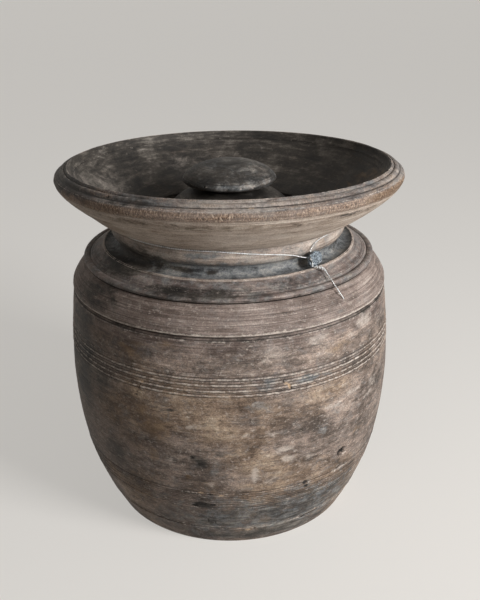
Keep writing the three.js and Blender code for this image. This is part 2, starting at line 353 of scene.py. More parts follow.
def seats(mesh, marks, sooty_and_unlit):
    """The outer vertex nearest to each mark's azimuth and height, on sooty or on plain wood."""
    level = mesh.verts.layers.float["level"]
    zones = mesh.verts.layers.float_color["zones"]
    outer, places = [], []
    for vert in mesh.verts:
        radius = math.hypot(vert.co.x, vert.co.y)
        outward = vert.normal.x * vert.co.x + vert.normal.y * vert.co.y
        if radius > 0 and outward > INWARD_LEAN * radius and is_sooty_and_unlit(vert, zones) == sooty_and_unlit:
            outer.append(vert)
            places.append((vert.co.x / radius * DRUM, vert.co.y / radius * DRUM, vert[level]))
    tree = kdtree.KDTree(len(outer))
    for index, place in enumerate(places):
        tree.insert(place, index)
    tree.balance()
    return [outer[tree.find(around(mark[0], DRUM, mark[1] * MM))[1]] for mark in marks]


def near(seat, reach, outward):
    """The vertices of the same surface within a reach of one, found by walking from it."""
    found, frontier = {seat}, [seat]
    while frontier:
        vert = frontier.pop()
        for link in vert.link_edges:
            other = link.other_vert(vert)
            beside = (other.co - seat.co).length < reach and other.normal.dot(outward) > SAME_SIDE
            if beside and other not in found:
                found.add(other)
                frontier.append(other)
    return found


def dents(mesh, marks, sooty_and_unlit=False):
    """Breaks chips, pits and cracks into the outer surface, each an ellipse with a ragged edge.

    Each mark is azimuth in degrees, height, width, tallness and depth in millimetres, its lean in degrees,
    then how dark with dirt and painted shade, how raw and how rubbed the broken wood is.
    """
    wear = mesh.verts.layers.float_color["wear"]
    edges = set()
    for seat, mark in zip(seats(mesh, marks, sooty_and_unlit), marks):
        reach = (0.5 * max(mark[2], mark[3]) + MARK_MARGIN) * MM
        edges.update(edge for vert in near(seat, reach, seat.normal) for edge in vert.link_edges)
    bmesh.ops.subdivide_edges(mesh, edges=list(edges), cuts=MARK_CUTS, use_grid_fill=True)
    mesh.normal_update()
    for seat, (_, _, wide, tall, depth, lean, dark, fresh, pale) in zip(seats(mesh, marks, sooty_and_unlit), marks):
        wide, tall, depth = wide * MM, tall * MM, depth * MM
        centre, outward = seat.co.copy(), seat.normal.copy()
        right = Vector((0, 0, 1)).cross(outward).normalized()
        up = outward.cross(right)
        turn = math.radians(lean)
        across = right * math.cos(turn) + up * math.sin(turn)
        along = up * math.cos(turn) - right * math.sin(turn)
        for vert in near(seat, 0.65 * max(wide, tall) + MM, outward):
            away = vert.co - centre
            # Noise of two sizes frays the ellipse's edge, and more of it roughens the floor
            wander = 0.35 * noise.noise(vert.co * per(1.7)) + 0.2 * noise.noise(vert.co * per(0.7))
            oval = math.hypot(2 * away.dot(across) / wide, 2 * away.dot(along) / tall)
            share = 1 - smooth(oval + wander, 0.5, 1.05)
            if share > 0:
                vert.co -= outward * (depth * share * (0.8 + 0.5 * noise.noise(vert.co * per(0.9))))
                old = vert[wear]
                vert[wear] = (
                    max(old[0], dark * share), max(old[1] * (1 - share), pale * share),
                    max(old[2], fresh * share), 1.0,
                )


def finished(mesh, name, material, slot, body, *nodes, sharp=40):
    """Turns a mesh into the piece that stands for the CAD nodes, with its material and body. The slot
    argument is not used.
    """
    for face in mesh.faces:
        face.smooth = True
    for edge in mesh.edges:
        edge.smooth = not edge.is_manifold or edge.calc_face_angle(0.0) < math.radians(sharp)
    data = bpy.data.meshes.new(name)
    mesh.to_mesh(data)
    mesh.free()
    data.materials.append(material)
    piece = placed(name, data)
    if nodes:
        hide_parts(*nodes)
    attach(piece, body)
    return piece


# The pot

POT_LOOKS = {  # how sooty, how slate-stained, how bare and how pitted each stretch of the pot is
    "foot": (0.0, 0.0, 0.0, 0.0),
    "belly": (0.0, 0.0, 0.0, 0.0),
    "shoulder": (0.0, 0.0, 0.1, 0.0),
    "collar": (0.0, 0.42, 0.0, 0.0),
    "lip": (0.0, 0.2, 0.4, 0.0),
    "channel": (0.0, 1.0, 0.0, 0.0),
    "waist": (0.0, 1.0, 0.0, 0.0),
    "fillet": (0.0, 0.38, 0.65, 0.0),
    "crease": (0.0, 0.3, 0.7, 0.0),
    "under": (0.0, 0.0, 1.0, 0.0),
    "band": (0.0, 0.15, 0.4, 1.0),
    "rim": (0.0, 0.5, 0.15, 0.6),
    "dish": (1.0, 0.0, 0.0, 0.0),
    "seat": (1.0, 0.0, 0.0, 0.0),
    # The hollow is painted as dark as soot: painted shade of its unlit inside.
    "hollow": (1.0, 0.0, 0.0, 0.0),
}

# Stains, marks and lines are set one by one, where the old wood shows them, and some dark stains are painted
# shade: the front first, then the back

POT_STAINS_AND_SHADE = (
    # azimuth, height, width, tallness; dark, slate, pale, russet
    # These two dark rings, in and below the shoulder's groove and under the bead, are painted shade.
    (0, 254, 2600, 9, 0.5, 0, 0, 0),
    (0, 287, 2600, 6, 0.45, 0, 0, 0),
    (-9.5, 123, 34, 26, 0.75, 0.15, 0, 0),
    (-12.3, 129, 10, 8, 1.0, 0, 0, 0),
    (-3, 134, 14, 10, 0.85, 0, 0, 0),
    (-9.5, 137, 11, 9, 0.85, 0, 0, 0),
    (-6, 112, 30, 18, 0.5, 0.3, 0, 0),
    (-10, 66, 34, 15, 1.0, 0.1, 0, 0),
    (-9, 37, 30, 16, 0.9, 0.2, 0, 0),
    (-27, 36, 20, 12, 0.8, 0, 0, 0),
    (-22, 60, 46, 34, 0.4, 0.2, 0, 0),
    (27.4, 82, 10, 14, 0.7, 0.3, 0, 0),
    (27.5, 33, 13, 9, 0.85, 0, 0, 0),
    (3, 232, 46, 26, 0.4, 0.25, 0, 0),
    # These four dark stains on the left side are partly dark staining and partly painted shade of the side
    # turned away from the light.
    (-44, 110, 60, 60, 0.6, 0, 0, 0),
    (-48, 190, 60, 90, 0.5, 0, 0, 0),
    (-64, 200, 130, 240, 0.8, 0, 0, 0),
    (-70, 70, 100, 140, 0.6, 0, 0, 0),
    (8, 188, 66, 22, 0.35, 0.35, 0, 0),
    (-19.2, 180, 12, 5, 1.0, 0, 0, 0),
    (12.8, 208, 24, 22, 0.4, 1.0, 0, 0),
    (26, 208, 44, 15, 0.3, 1.0, 0, 0),
    (33, 207, 20, 7, 0, 0.9, 0, 0),
    (35, 152, 46, 46, 0, 0.45, 0, 0),
    (42, 60, 80, 50, 0, 0.5, 0, 0),
    (0, 48, 90, 34, 0, 0.5, 0, 0),
    (-12, 164, 12, 8, 0, 0, 1.0, 0),
    (18, 135, 26, 14, 0, 0, 0.85, 0),
    (6, 155, 24, 12, 0, 0, 0.8, 0),
    (14, 154, 26, 9, 0, 0, 0.8, 0),
    (19, 123, 26, 16, 0, 0, 0.85, 0),
    (27, 118, 24, 14, 0, 0, 0.8, 0),
    (8, 107, 9, 36, 0, 0, 1.0, 0),
    (13, 99, 24, 16, 0, 0, 0.7, 0),
    (45, 176, 46, 11, 0, 0, 0.7, 0),
    (58, 172, 36, 20, 0, 0, 0.7, 0),
    (55, 160, 26, 10, 0, 0, 0.7, 0),
    (35, 170, 28, 10, 0, 0, 0.6, 0),
    (-20, 120, 16, 24, 0, 0, 0.6, 0),
    (14, 240, 60, 40, 0, 0, 0.5, 0),
    (8, 248, 50, 12, 0, 0, 0.4, 0),
    (30, 245, 30, 24, 0, 0, 0.6, 0),
    (52, 245, 60, 22, 0, 0, 0.6, 0),
    (44, 84, 20, 10, 0, 0, 1.0, 0),
    (-6.5, 95, 14, 18, 0, 0, 0.7, 0),
    (-29, 172, 24, 34, 0, 0, 0, 0.7),
    (-26, 125, 20, 34, 0, 0, 0, 0.7),
    (-14, 104, 14, 12, 0, 0, 0, 0.9),
    (50, 125, 30, 16, 0, 0, 0, 0.6),
    (-33, 235, 60, 34, 0, 0, 0, 0.6),
    (-20, 245, 36, 22, 0, 0, 0, 0.5),
    (40, 230, 60, 16, 0, 0, 0, 0.5),
    (27, 178, 24, 16, 0, 0, 0, 0.5),
    (6, 22, 24, 8, 0, 0, 0.3, 1.0),
    (-75, 150, 70, 60, 0.4, 0, 0, 0.4),
    (-100, 90, 80, 40, 0.3, 0.5, 0, 0),
    (-120, 200, 60, 44, 0, 0, 0.7, 0),
    (-150, 130, 46, 70, 0.5, 0, 0, 0.4),
    (-165, 72, 70, 24, 0.9, 0, 0, 0),
    (175, 180, 60, 34, 0, 0, 0.7, 0),
    (160, 112, 44, 34, 0, 0, 0.6, 0.4),
    (135, 210, 60, 18, 0, 0.9, 0, 0),
    (120, 140, 60, 66, 0.4, 0.2, 0, 0.3),
    (100, 80, 70, 34, 0, 0.6, 0, 0),
    (90, 170, 46, 46, 0, 0, 0.6, 0),
    (140, 40, 70, 24, 0.7, 0, 0, 0),
    (-130, 30, 70, 20, 0.7, 0, 0, 0),
    # This dark stain on the neck's left, under the dish, is painted shade of the dish's overhang.
    (-52, 306, 150, 44, 1.0, 0, 0, 0),
    (-22, 304, 50, 8, 1.0, 0, 0, 0),
    (-8, 303, 18, 7, 0.8, 0, 0, 0),
    (-12, 321, 80, 9, 0, 0.9, 0, 0),
    (4, 312, 460, 15, 0.2, 0.7, 0, 0),
    (178, 312, 420, 13, 0.4, 0.6, 0, 0),
    (20, 44, 380, 110, 0.5, 0.85, 0, 0),
    (16, 14, 300, 34, 0.7, 0.7, 0, 0),
    (20, 314, 90, 9, 0, 0, 0.8, 0),
    (66, 306, 50, 26, 0.6, 0.5, 0, 0),
    (150, 308, 160, 24, 0.8, 0, 0, 0),
    (-130, 312, 120, 20, 0.6, 0.4, 0, 0),
    (-60, 350, 130, 26, 0.4, 0, 0, 0.6),
    (-48, 345, 110, 34, 0, 0, 0, 0.6),
    (10, 345, 110, 16, 0, 0, 0.5, 0),
    (-30, 331, 46, 8, 0.5, 0.4, 0, 0),
    (120, 348, 120, 30, 0.4, 0, 0, 0.4),
    (-82, 379, 360, 30, 1.0, 0.3, 0, 0),
    (-30, 380, 120, 14, 0.5, 0.6, 0, 0),
    (66, 380, 150, 18, 0, 0, 0.6, 0),
    (4, 381, 200, 16, 0, 0, 0.7, 0),
    (62, 372, 170, 18, 0.2, 0, 0, 1.0),
    (-40, 371, 120, 16, 0.4, 0, 0, 0.8),
    (170, 382, 160, 12, 0.7, 0, 0, 0),
    (40, 362, 110, 8, 0.55, 0, 0, 0.3),
    (-8, 292, 260, 12, 0.65, 0.4, 0, 0),
    (30, 296, 160, 8, 0.4, 0.3, 0, 0),
    (-24, 158, 60, 44, 0, 0, 0, 0.7),
    (-8, 92, 70, 34, 0, 0, 0, 0.55),
    (-34, 84, 60, 30, 0, 0, 0, 0.5),
    (-52, 275, 110, 50, 0.6, 0, 0, 0),
    (0, 361, 2600, 13, 0.3, 0, 0, 0.5),
)

DISH_STAINS = (
    # the same, on the sooty inside of the dish
    (-74, 360, 170, 50, 0, 0, 0.56, 0),
    (-104, 352, 150, 44, 0, 0, 0.4, 0),
    (-160, 352, 90, 20, 0, 0, 0.4, 0),
    (-145, 376, 240, 24, 1.0, 0, 0, 0),
    (178, 378, 220, 18, 1.0, 0, 0, 0),
    (-170, 357, 260, 14, 0, 0, 0.35, 0),
    (120, 380, 140, 12, 0.8, 0, 0, 0),
    (85, 355, 170, 60, 0, 0, 0, 0.5),
)

POT_MARKS = (
    # azimuth, height, width, tallness, depth, lean; dirty and shaded, raw, rubbed
    (19.4, 204.4, 3.6, 6.6, 1.6, 10, 0.1, 0.9, 0),
    (18.3, 207.2, 3.6, 3.6, 1.3, -30, 0.1, 0.7, 0),
    (17.4, 209.6, 1.6, 6.5, 1.8, 12, 1.0, 0, 0),
    (20.2, 201.6, 1.6, 3.6, 1.8, 0, 1.0, 0, 0),
    (42.4, 106.2, 16.0, 12.5, 5.0, 32, 1.2, 0, 0),
    (43.9, 100.6, 11.0, 4.0, 0.6, 34, 0, 0, 1.0),
    (-28.6, 205.0, 3.0, 3.0, 1.2, 15, 0.1, 1.0, 0),
    (-29.6, 199.0, 1.2, 11.0, 1.0, -20, 1.0, 0, 0),
    (-31.2, 188.0, 5.0, 2.4, 1.2, 30, 1.0, 0, 0),
    (-31.0, 192.5, 1.2, 7.0, 0.8, -28, 0.8, 0, 0),
    (76.5, 246.5, 5.0, 15.0, 1.8, -20, 0.9, 0.2, 0),
    (67.0, 251.5, 4.0, 7.0, 1.2, 0, 0.7, 0.3, 0),
    (34.2, 27.5, 18.0, 6.0, 2.0, 8, 1.1, 0.1, 0),
    (31.0, 24.7, 11.0, 5.0, 1.5, 0, 1.1, 0, 0),
    (36.4, 30.4, 9.0, 3.0, 0.8, 8, 0, 0.2, 1.0),
    (7.2, 23.2, 9.0, 5.0, 1.0, -5, 0.2, 0.7, 0),
    (9.4, 24.6, 5.0, 5.0, 1.2, 12, 1.0, 0.1, 0),
    (4.6, 22.6, 4.0, 3.6, 1.0, 0, 1.0, 0.2, 0),
    (-10.6, 68.0, 18.0, 5.0, 1.0, 0, 1.1, 0, 0),
    (-13.0, 64.0, 9.0, 5.0, 1.0, 10, 1.1, 0, 0),
    (-6.5, 67.0, 9.0, 4.0, 0.8, 0, 1.1, 0, 0),
    (-9.8, 122.0, 7.0, 6.0, 0.9, 0, 1.0, 0, 0),
    (-12.3, 129.0, 7.0, 4.0, 0.9, 0, 1.1, 0, 0),
    (-0.5, 122.5, 2.2, 3.5, 0.9, 20, 0.2, 0.7, 0),
    (0.2, 107.0, 3.0, 2.8, 0.9, 0, 0.7, 0.2, 0),
    (-7.2, 82.5, 12.0, 3.2, 1.1, -6, 1.1, 0, 0),
    (-2.9, 80.6, 6.0, 3.2, 0.9, 0, 0, 0.9, 0),
    (-10.3, 84.4, 7.0, 3.0, 0.9, 0, 0.5, 0.5, 0),
    (27.0, 84.6, 8.0, 5.5, 1.2, 20, 1.0, 0, 0.3),
    (27.6, 78.6, 6.0, 5.0, 1.2, -15, 1.1, 0, 0),
    (29.0, 82.0, 3.2, 7.0, 0.8, 12, 0, 0, 1.0),
    (42.0, 82.0, 10.0, 1.3, 0.3, 6, 0, 0, 1.0),
    (45.0, 85.4, 11.0, 1.3, 0.3, 6, 0, 0, 1.0),
    (-20.9, 258.0, 3.0, 3.0, 1.4, 0, 1.0, 0.1, 0),
    (-21.1, 16.3, 5.0, 3.0, 1.2, 0, 0.8, 0.1, 0),
    (-33.0, 24.0, 3.0, 2.5, 1.0, 0, 0.4, 0.6, 0),
    (-9.0, 40.0, 2.0, 9.0, 0.7, 6, 1.0, 0, 0),
    (-6.2, 38.0, 1.8, 8.0, 0.7, -4, 1.0, 0, 0),
    (118.0, 150.0, 3.0, 9.0, 1.6, 8, 0.9, 0.1, 0),
    (151.0, 92.0, 9.0, 4.0, 1.2, 12, 0.7, 0.2, 0),
    (-142.0, 226.0, 2.6, 2.6, 3.0, 0, 1.0, 0, 0),
    (-96.0, 181.0, 7.0, 4.0, 1.1, -10, 0.5, 0.4, 0),
    (-112.0, 34.0, 11.0, 4.0, 1.4, 5, 0.7, 0.1, 0),
    (172.0, 236.0, 1.6, 15.0, 1.2, 14, 1.0, 0, 0),
    (9.7, 378.9, 2.4, 2.2, 3.0, 0, 1.0, 0, 0),
    (-4.7, 383.4, 1.8, 1.8, 2.0, 0, 1.0, 0, 0),
    (12.6, 383.4, 2.6, 2.2, 2.2, 0, 1.0, 0, 0),
    (6.5, 379.2, 5.0, 1.4, 0.6, 0, 0.1, 1.0, 0),
    (31.0, 380.6, 2.2, 2.2, 1.6, 0, 1.0, 0, 0),
    (-38.0, 381.5, 2.8, 2.4, 1.5, 0, 1.0, 0, 0),
    (-24.0, 378.5, 6.0, 1.6, 0.5, 0, 0, 0, 1.0),
    (-61.0, 379.0, 2.0, 2.0, 2.0, 0, 1.0, 0, 0),
    (88.0, 383.0, 2.6, 2.2, 1.8, 0, 1.0, 0, 0),
    (160.0, 380.0, 2.2, 2.2, 2.4, 0, 1.0, 0, 0),
    (-128.0, 382.5, 3.0, 2.4, 1.6, 0, 1.0, 0, 0),
)


def draw_belly(outline, s):
    """The outside from the resting face up to the groove under the shoulder."""
    outline.line(s.foot_radius - 2 * MM, 0.0, "foot", spacing=30 * MM)
    outline.line(s.foot_radius, 2 * MM, "foot", pale=0.5)
    outline.curve(
        (s.foot_radius + 28 * MM, 54 * MM), (s.belly_radius - 1.4 * MM, 98 * MM),
        (s.belly_radius, s.belly_height), "belly",
    )
    outline.curve(
        (s.belly_radius - 0.2 * MM, s.belly_height + 25 * MM),
        (s.shoulder_radius + 2.8 * MM, s.shoulder_height - 21 * MM),
        (s.shoulder_radius, s.shoulder_height - 2.8 * MM), "belly", pale=0.8,
    )


def draw_shoulder(outline, s):
    """The incised groove, the round shoulder, the deep groove and bead, the collar and the lip."""
    top = s.shoulder_height
    bead = s.neck_radius + 33.2 * MM
    collar = s.neck_radius + 26.7 * MM
    outline.line(s.shoulder_radius - MM, top - 2.0 * MM, "shoulder", spacing=MM, dark=1.0)
    outline.line(s.shoulder_radius - 3.0 * MM, top - 0.3 * MM, "shoulder", spacing=MM, dark=1.0)
    outline.line(s.shoulder_radius - 2.0 * MM, top + MM, "shoulder", spacing=MM, dark=1.0)
    outline.line(s.shoulder_radius, top + 2.2 * MM, "shoulder", spacing=MM, pale=1.3)
    outline.line(s.shoulder_radius + 0.1 * MM, top + 3.4 * MM, "shoulder", spacing=MM, pale=1.1)
    outline.curve(
        (s.shoulder_radius + MM, top + 10 * MM), (bead + 6.5 * MM, top + 19.2 * MM),
        (bead + 1.3 * MM, top + 26.1 * MM), "shoulder", spacing=3 * MM, pale=0.2,
    )
    outline.line(bead - 2.2 * MM, top + 28.4 * MM, "shoulder", spacing=MM, dark=1.0)
    outline.line(bead - 1.4 * MM, top + 29.6 * MM, "shoulder", spacing=MM, dark=0.9)
    outline.curve(
        (bead + 0.6 * MM, top + 30.6 * MM), (bead + 0.5 * MM, top + 34.6 * MM),
        (bead - 3.0 * MM, top + 35.1 * MM), "collar", spacing=MM, pale=0.5,
    )
    outline.line(collar + 0.4 * MM, top + 34.6 * MM, "collar", spacing=MM)
    outline.line(collar - 0.3 * MM, top + 34.0 * MM, "collar", spacing=MM, dark=0.9)
    outline.line(collar - 1.2 * MM, top + 34.9 * MM, "collar", spacing=MM, pale=0.2)
    outline.line(s.lip_radius + 1.9 * MM, s.lip_height - 2.3 * MM, "collar", spacing=2.5 * MM)
    outline.line(s.lip_radius + 1.5 * MM, s.lip_height - 0.8 * MM, "lip", spacing=MM, pale=1.2)
    outline.line(s.lip_radius, s.lip_height, "lip", spacing=MM, pale=1.2)
    outline.line(s.lip_radius - 1.6 * MM, s.lip_height - 0.7 * MM, "channel", spacing=MM, dark=0.7)


def draw_neck(outline, s):
    """The worn channel behind the lip, and the swelling of the neck up to the crease under the dish."""
    waist = s.neck_radius - 2.8 * MM
    fillet_foot = s.crease_height - 16.3 * MM
    outline.curve(
        (s.lip_radius - 6 * MM, s.lip_height - 3.4 * MM), (waist - 3.6 * MM, s.lip_height - 2.4 * MM),
        (waist - 0.4 * MM, fillet_foot - MM), "channel", spacing=2 * MM, dark=0.5,
    )
    outline.line(waist + 0.5 * MM, fillet_foot, "waist", spacing=MM, dark=0.5)
    outline.curve(
        (waist + 5 * MM, fillet_foot + 2.5 * MM), (s.neck_radius + 5.2 * MM, s.crease_height - 5.5 * MM),
        (s.neck_radius + 0.5 * MM, s.crease_height - 0.6 * MM), "fillet", spacing=1.6 * MM,
    )
    outline.line(s.neck_radius, s.crease_height, "crease", spacing=MM, dark=0.4)


def draw_dish(outline, s):
    """The underside of the dish, its band of end grain, the moulded rim and the hollow face."""
    outline.line(s.neck_radius + 2.2 * MM, s.crease_height + 0.9 * MM, "crease", spacing=MM, pale=0.3)
    outline.curve(
        (s.neck_radius + 17 * MM, s.crease_height + 5.2 * MM),
        (s.rim_radius - 8 * MM, s.rim_height - 16 * MM),
        (s.rim_radius - 2.7 * MM, s.rim_height - 6.3 * MM), "under", spacing=3 * MM,
    )
    outline.curve(
        (s.rim_radius - 1.2 * MM, s.rim_height - 4 * MM), (s.rim_radius, s.rim_height - 2 * MM),
        (s.rim_radius, s.rim_height), "band", spacing=1.6 * MM,
    )
    outline.line(s.rim_radius - 0.7 * MM, s.rim_height + 3 * MM, "band", spacing=1.6 * MM)
    outline.line(s.rim_radius - 1.6 * MM, s.rim_height + 4.2 * MM, "rim", spacing=MM, pale=1.0)
    outline.line(s.rim_radius - 2.8 * MM, s.rim_height + 5.2 * MM, "rim", spacing=MM, pale=0.3)
    outline.line(s.crest_radius + 8.7 * MM, s.crest_height - 5.8 * MM, "rim", spacing=MM, dark=0.9)
    outline.line(s.crest_radius + 7.8 * MM, s.crest_height - 5.1 * MM, "rim", spacing=MM, dark=0.6)
    outline.curve(
        (s.crest_radius + 7.6 * MM, s.crest_height - 3.4 * MM),
        (s.crest_radius + 6 * MM, s.crest_height - 2.0 * MM),
        (s.crest_radius + 3.4 * MM, s.crest_height - 2.1 * MM), "rim", spacing=MM, pale=0.8,
    )
    outline.line(s.crest_radius + 2.3 * MM, s.crest_height - 2.9 * MM, "rim", spacing=MM, dark=0.9)
    outline.line(s.crest_radius + 1.5 * MM, s.crest_height - 1.2 * MM, "rim", spacing=MM)
    outline.line(s.crest_radius, s.crest_height, "rim", spacing=MM, pale=0.7)
    outline.line(s.crest_radius - 1.7 * MM, s.crest_height - 0.9 * MM, "dish", spacing=MM)
    outline.curve(
        (s.rim_radius - 18.5 * MM, s.rim_height - 4.1 * MM),
        (s.neck_radius + 13.8 * MM, s.crease_height + 24.7 * MM),
        (s.mouth_radius + s.seat_width + 2.5 * MM, s.seat_height + 11.2 * MM), "dish", spacing=4 * MM,
    )


def draw_hollow(outline, s):
    """The seat for the lid, the bore of the neck and the hollow of the belly."""
    seat = s.mouth_radius + s.seat_width
    hollow = s.belly_radius - s.wall
    bore_foot = s.seat_height - 30 * MM
    round_height = s.belly_height + 0.57 * (bore_foot - s.belly_height)
    outline.line(seat, s.seat_height + 9 * MM, "seat", spacing=2 * MM, pale=0.3)
    outline.line(seat, s.seat_height, "seat", dark=0.6)
    outline.line(s.mouth_radius + 1.5 * MM, s.seat_height, "seat")
    outline.line(s.mouth_radius, s.seat_height - 1.5 * MM, "seat", spacing=MM, pale=0.3)
    outline.line(s.mouth_radius, bore_foot, "hollow", spacing=6 * MM)
    outline.curve(
        (hollow - 0.6 * s.wall, bore_foot - 0.5 * s.wall), (hollow, round_height),
        (hollow, s.belly_height), "hollow", spacing=24 * MM,
    )
    outline.curve(
        (hollow, 0.58 * s.belly_height), (hollow - 0.5 * s.wall, s.floor + 4 * MM),
        (hollow - 3.2 * s.wall, s.floor), "hollow", spacing=24 * MM,
    )
    outline.line(0.0, s.floor, "hollow", spacing=25 * MM)


POT_LINES = (
    # stretch, height, half width, depth in millimetres; how dark the groove and how pale its lips are
    ("belly", 28.0, 1.5, 1.2, 1.0, 0.8), ("belly", 61.5, 1.1, -0.5, 1.0, 0.5),
    ("belly", 67.0, 0.9, -0.4, 1.0, 0.5), ("belly", 72.5, 0.9, -0.4, 1.0, 0.5),
    ("belly", 77.4, 0.9, -0.4, 1.0, 0.5), ("belly", 83.5, 1.1, -0.5, 1.0, 0.6),
    ("belly", 199.0, 1.2, -0.6, 0.9, 1.0), ("belly", 203.9, 1.2, -0.6, 0.9, 1.0),
    ("belly", 209.8, 1.2, -0.6, 0.9, 1.0), ("belly", 215.8, 1.2, -0.6, 0.9, 1.0),
    ("belly", 221.0, 0.7, -0.3, 0.4, 0.7), ("belly", 150.5, 0.5, 0.2, 0.3, 0.3),
    ("belly", 176.0, 0.5, 0.2, 0.3, 0.3), ("belly", 102.0, 0.5, 0.2, 0.3, 0.2),
    ("belly", 232.0, 0.4, 0.15, 0.3, 0.2), ("belly", 121.0, 0.4, 0.15, 0.2, 0.2),
    ("shoulder", 262.4, 0.5, 0.25, 0.5, 0.5), ("shoulder", 266.5, 0.6, 0.3, 0.7, 0.6),
    ("shoulder", 269.6, 0.5, 0.25, 0.5, 0.5), ("shoulder", 272.6, 0.6, 0.3, 0.7, 0.6),
    ("shoulder", 275.6, 0.5, 0.3, 0.6, 0.6), ("shoulder", 278.6, 0.4, 0.2, 0.5, 0.5),
    ("collar", 292.3, 0.5, 0.3, 0.9, 0.6), ("collar", 293.9, 0.4, 0.25, 0.8, 0.6),
    ("under", 365.4, 0.5, 0.3, 0.7, 0.6), ("under", 363.4, 0.4, 0.2, 0.5, 0.5),
    ("under", 361.0, 0.5, 0.25, 0.6, 0.5), ("under", 352.0, 0.5, 0.2, 0.4, 0.3),
    ("under", 343.0, 0.5, 0.2, 0.4, 0.3), ("dish", 376.0, 0.5, 0.3, 0.7, 0.5),
    ("dish", 371.0, 0.5, 0.2, 0.5, 0.3), ("dish", 358.0, 0.5, 0.2, 0.5, 0.3),
)


NIBBLE = 9  # size of the nibbles along worn edges, in millimetres
DRIFT = 90  # size of the slow swells of a hand-turned wall, in millimetres
RESTING_FACE = 4 * MM  # what lies lower stays true, so that the pot stands as turned


def weather_pot(mesh, s):
    """Takes the evenness off: finely nibbled edges and slightly wandering walls, always inwards."""
    zones = mesh.verts.layers.float_color["zones"]
    wear = mesh.verts.layers.float_color["wear"]
    for vert in mesh.verts:
        radius = math.hypot(vert.co.x, vert.co.y)
        if radius < s.mouth_radius + 2 * s.seat_width:
            continue
        edge = vert[wear][1]
        nibble = abs(noise.noise(vert.co * per(NIBBLE))) * (0.15 + 0.7 * edge + 0.5 * vert[zones][3])
        drift = 0.5 + 0.5 * noise.noise(vert.co * per(DRIFT))
        inward = (0.25 * drift + 0.9 * nibble) * MM / radius
        if vert.co.z > RESTING_FACE:
            vert.co.x -= vert.co.x * inward
            vert.co.y -= vert.co.y * inward


def warp_dish(mesh, s):
    """Leans and shifts the dish as the dried wood has pulled it, easing in above the neck."""
    level = mesh.verts.layers.float["level"]
    for vert in mesh.verts:
        share = smooth(vert[level], s.crease_height + 4 * MM, s.crease_height + 20 * MM)
        vert.co.z -= s.dish_lean * share * vert.co.y
        vert.co.x += s.dish_shift * share


class POT_OT_body(bpy.types.Operator):
    """Turn the pot: belly, shoulder, neck and dish in one piece, with its chips, worm holes and warp"""

    bl_idname = "pot.body"
    bl_label = "Pot Body"

    def execute(self, context):
        s = context.scene.pot_sizes
        outline = Outline(0.0, 0.0, "foot")
        for draw in (draw_belly, draw_shoulder, draw_neck, draw_dish, draw_hollow):
            draw(outline, s)
        outline.engrave_all(POT_LINES)
        mesh = turned(outline, POT_LOOKS, sides=176)
        mesh.normal_update()
        stained(mesh, POT_STAINS_AND_SHADE, DISH_STAINS)
        dents(mesh, POT_MARKS)
        weather_pot(mesh, s)
        warp_dish(mesh, s)
        material = weathered_hardwood(context.scene.pot_colours, s)
        finished(mesh, "turned_pot", material, "weathered_hardwood", "pot", "pot_body")
        return {"FINISHED"}


# The lid

LID_LOOKS = {  # how sooty, how slate-stained, how bare and how pitted each stretch of the lid is
    "plug": (0.7, 0.0, 0.3, 0.0),
    "flange": (1.0, 0.1, 0.0, 0.0),
    "dome": (1.0, 0.1, 0.0, 0.0),
    "stem": (1.0, 0.1, 0.0, 0.0),
    "under_knob": (1.0, 0.1, 0.0, 0.0),
    "knob_edge": (1.0, 0.3, 0.0, 0.3),
    "knob": (1.0, 0.3, 0.0, 0.0),
}


def draw_lid(outline, s):
    """Plug, flange, dome, stem and knob, from the plug's underside up to the top of the knob."""
    under = s.seat_height + GAP
    plug_foot = under - s.plug_length
    flange_top = under + 5.5 * MM
    dome_foot = flange_top + 13.2 * MM
    stem_foot = dome_foot + 19.8 * MM
    knob_foot = s.knob_height - 5 * MM
    stem = 18.5 * MM
    outline.line(s.plug_radius - 2 * MM, plug_foot, "plug", spacing=12 * MM)
    outline.line(s.plug_radius, plug_foot + 2 * MM, "plug", spacing=MM, pale=0.4)
    outline.line(s.plug_radius, under, "plug")
    outline.line(s.flange_radius - MM, under, "flange")
    outline.line(s.flange_radius, under + MM, "flange", spacing=MM)
    outline.line(s.flange_radius, flange_top - 1.5 * MM, "flange", spacing=2 * MM, pale=0.4)
    outline.line(s.flange_radius - 1.5 * MM, flange_top, "flange", spacing=MM, pale=0.4)
    outline.curve(
        (0.86 * s.flange_radius, flange_top + 2.6 * MM), (71 * MM, dome_foot - 5.3 * MM),
        (64 * MM, dome_foot), "dome", spacing=2.5 * MM,
    )
    outline.curve(
        (56.3 * MM, dome_foot + 8.9 * MM), (46 * MM, dome_foot + 17 * MM),
        (stem + 7.5 * MM, stem_foot), "dome", spacing=2.5 * MM,
    )
    outline.curve(
        (stem + 3 * MM, stem_foot), (stem, stem_foot + 1.9 * MM), (stem, stem_foot + 3.9 * MM),
        "stem", spacing=1.5 * MM,
    )
    outline.line(stem + 2.2 * MM, s.knob_height - 3 * MM, "stem", spacing=MM, dark=0.8)
    outline.line(s.knob_radius - 5 * MM, knob_foot, "under_knob", spacing=3 * MM)
    outline.curve(
        (s.knob_radius - MM, knob_foot), (s.knob_radius, s.knob_height - 3 * MM),
        (s.knob_radius, s.knob_height), "knob_edge", spacing=1.2 * MM, pale=0.6,
    )
    outline.curve(
        (0.94 * s.knob_radius, s.knob_height + 0.5 * s.knob_rise),
        (0.5 * s.knob_radius, s.knob_height + s.knob_rise),
        (0.0, s.knob_height + s.knob_rise), "knob", spacing=1.6 * MM,
    )


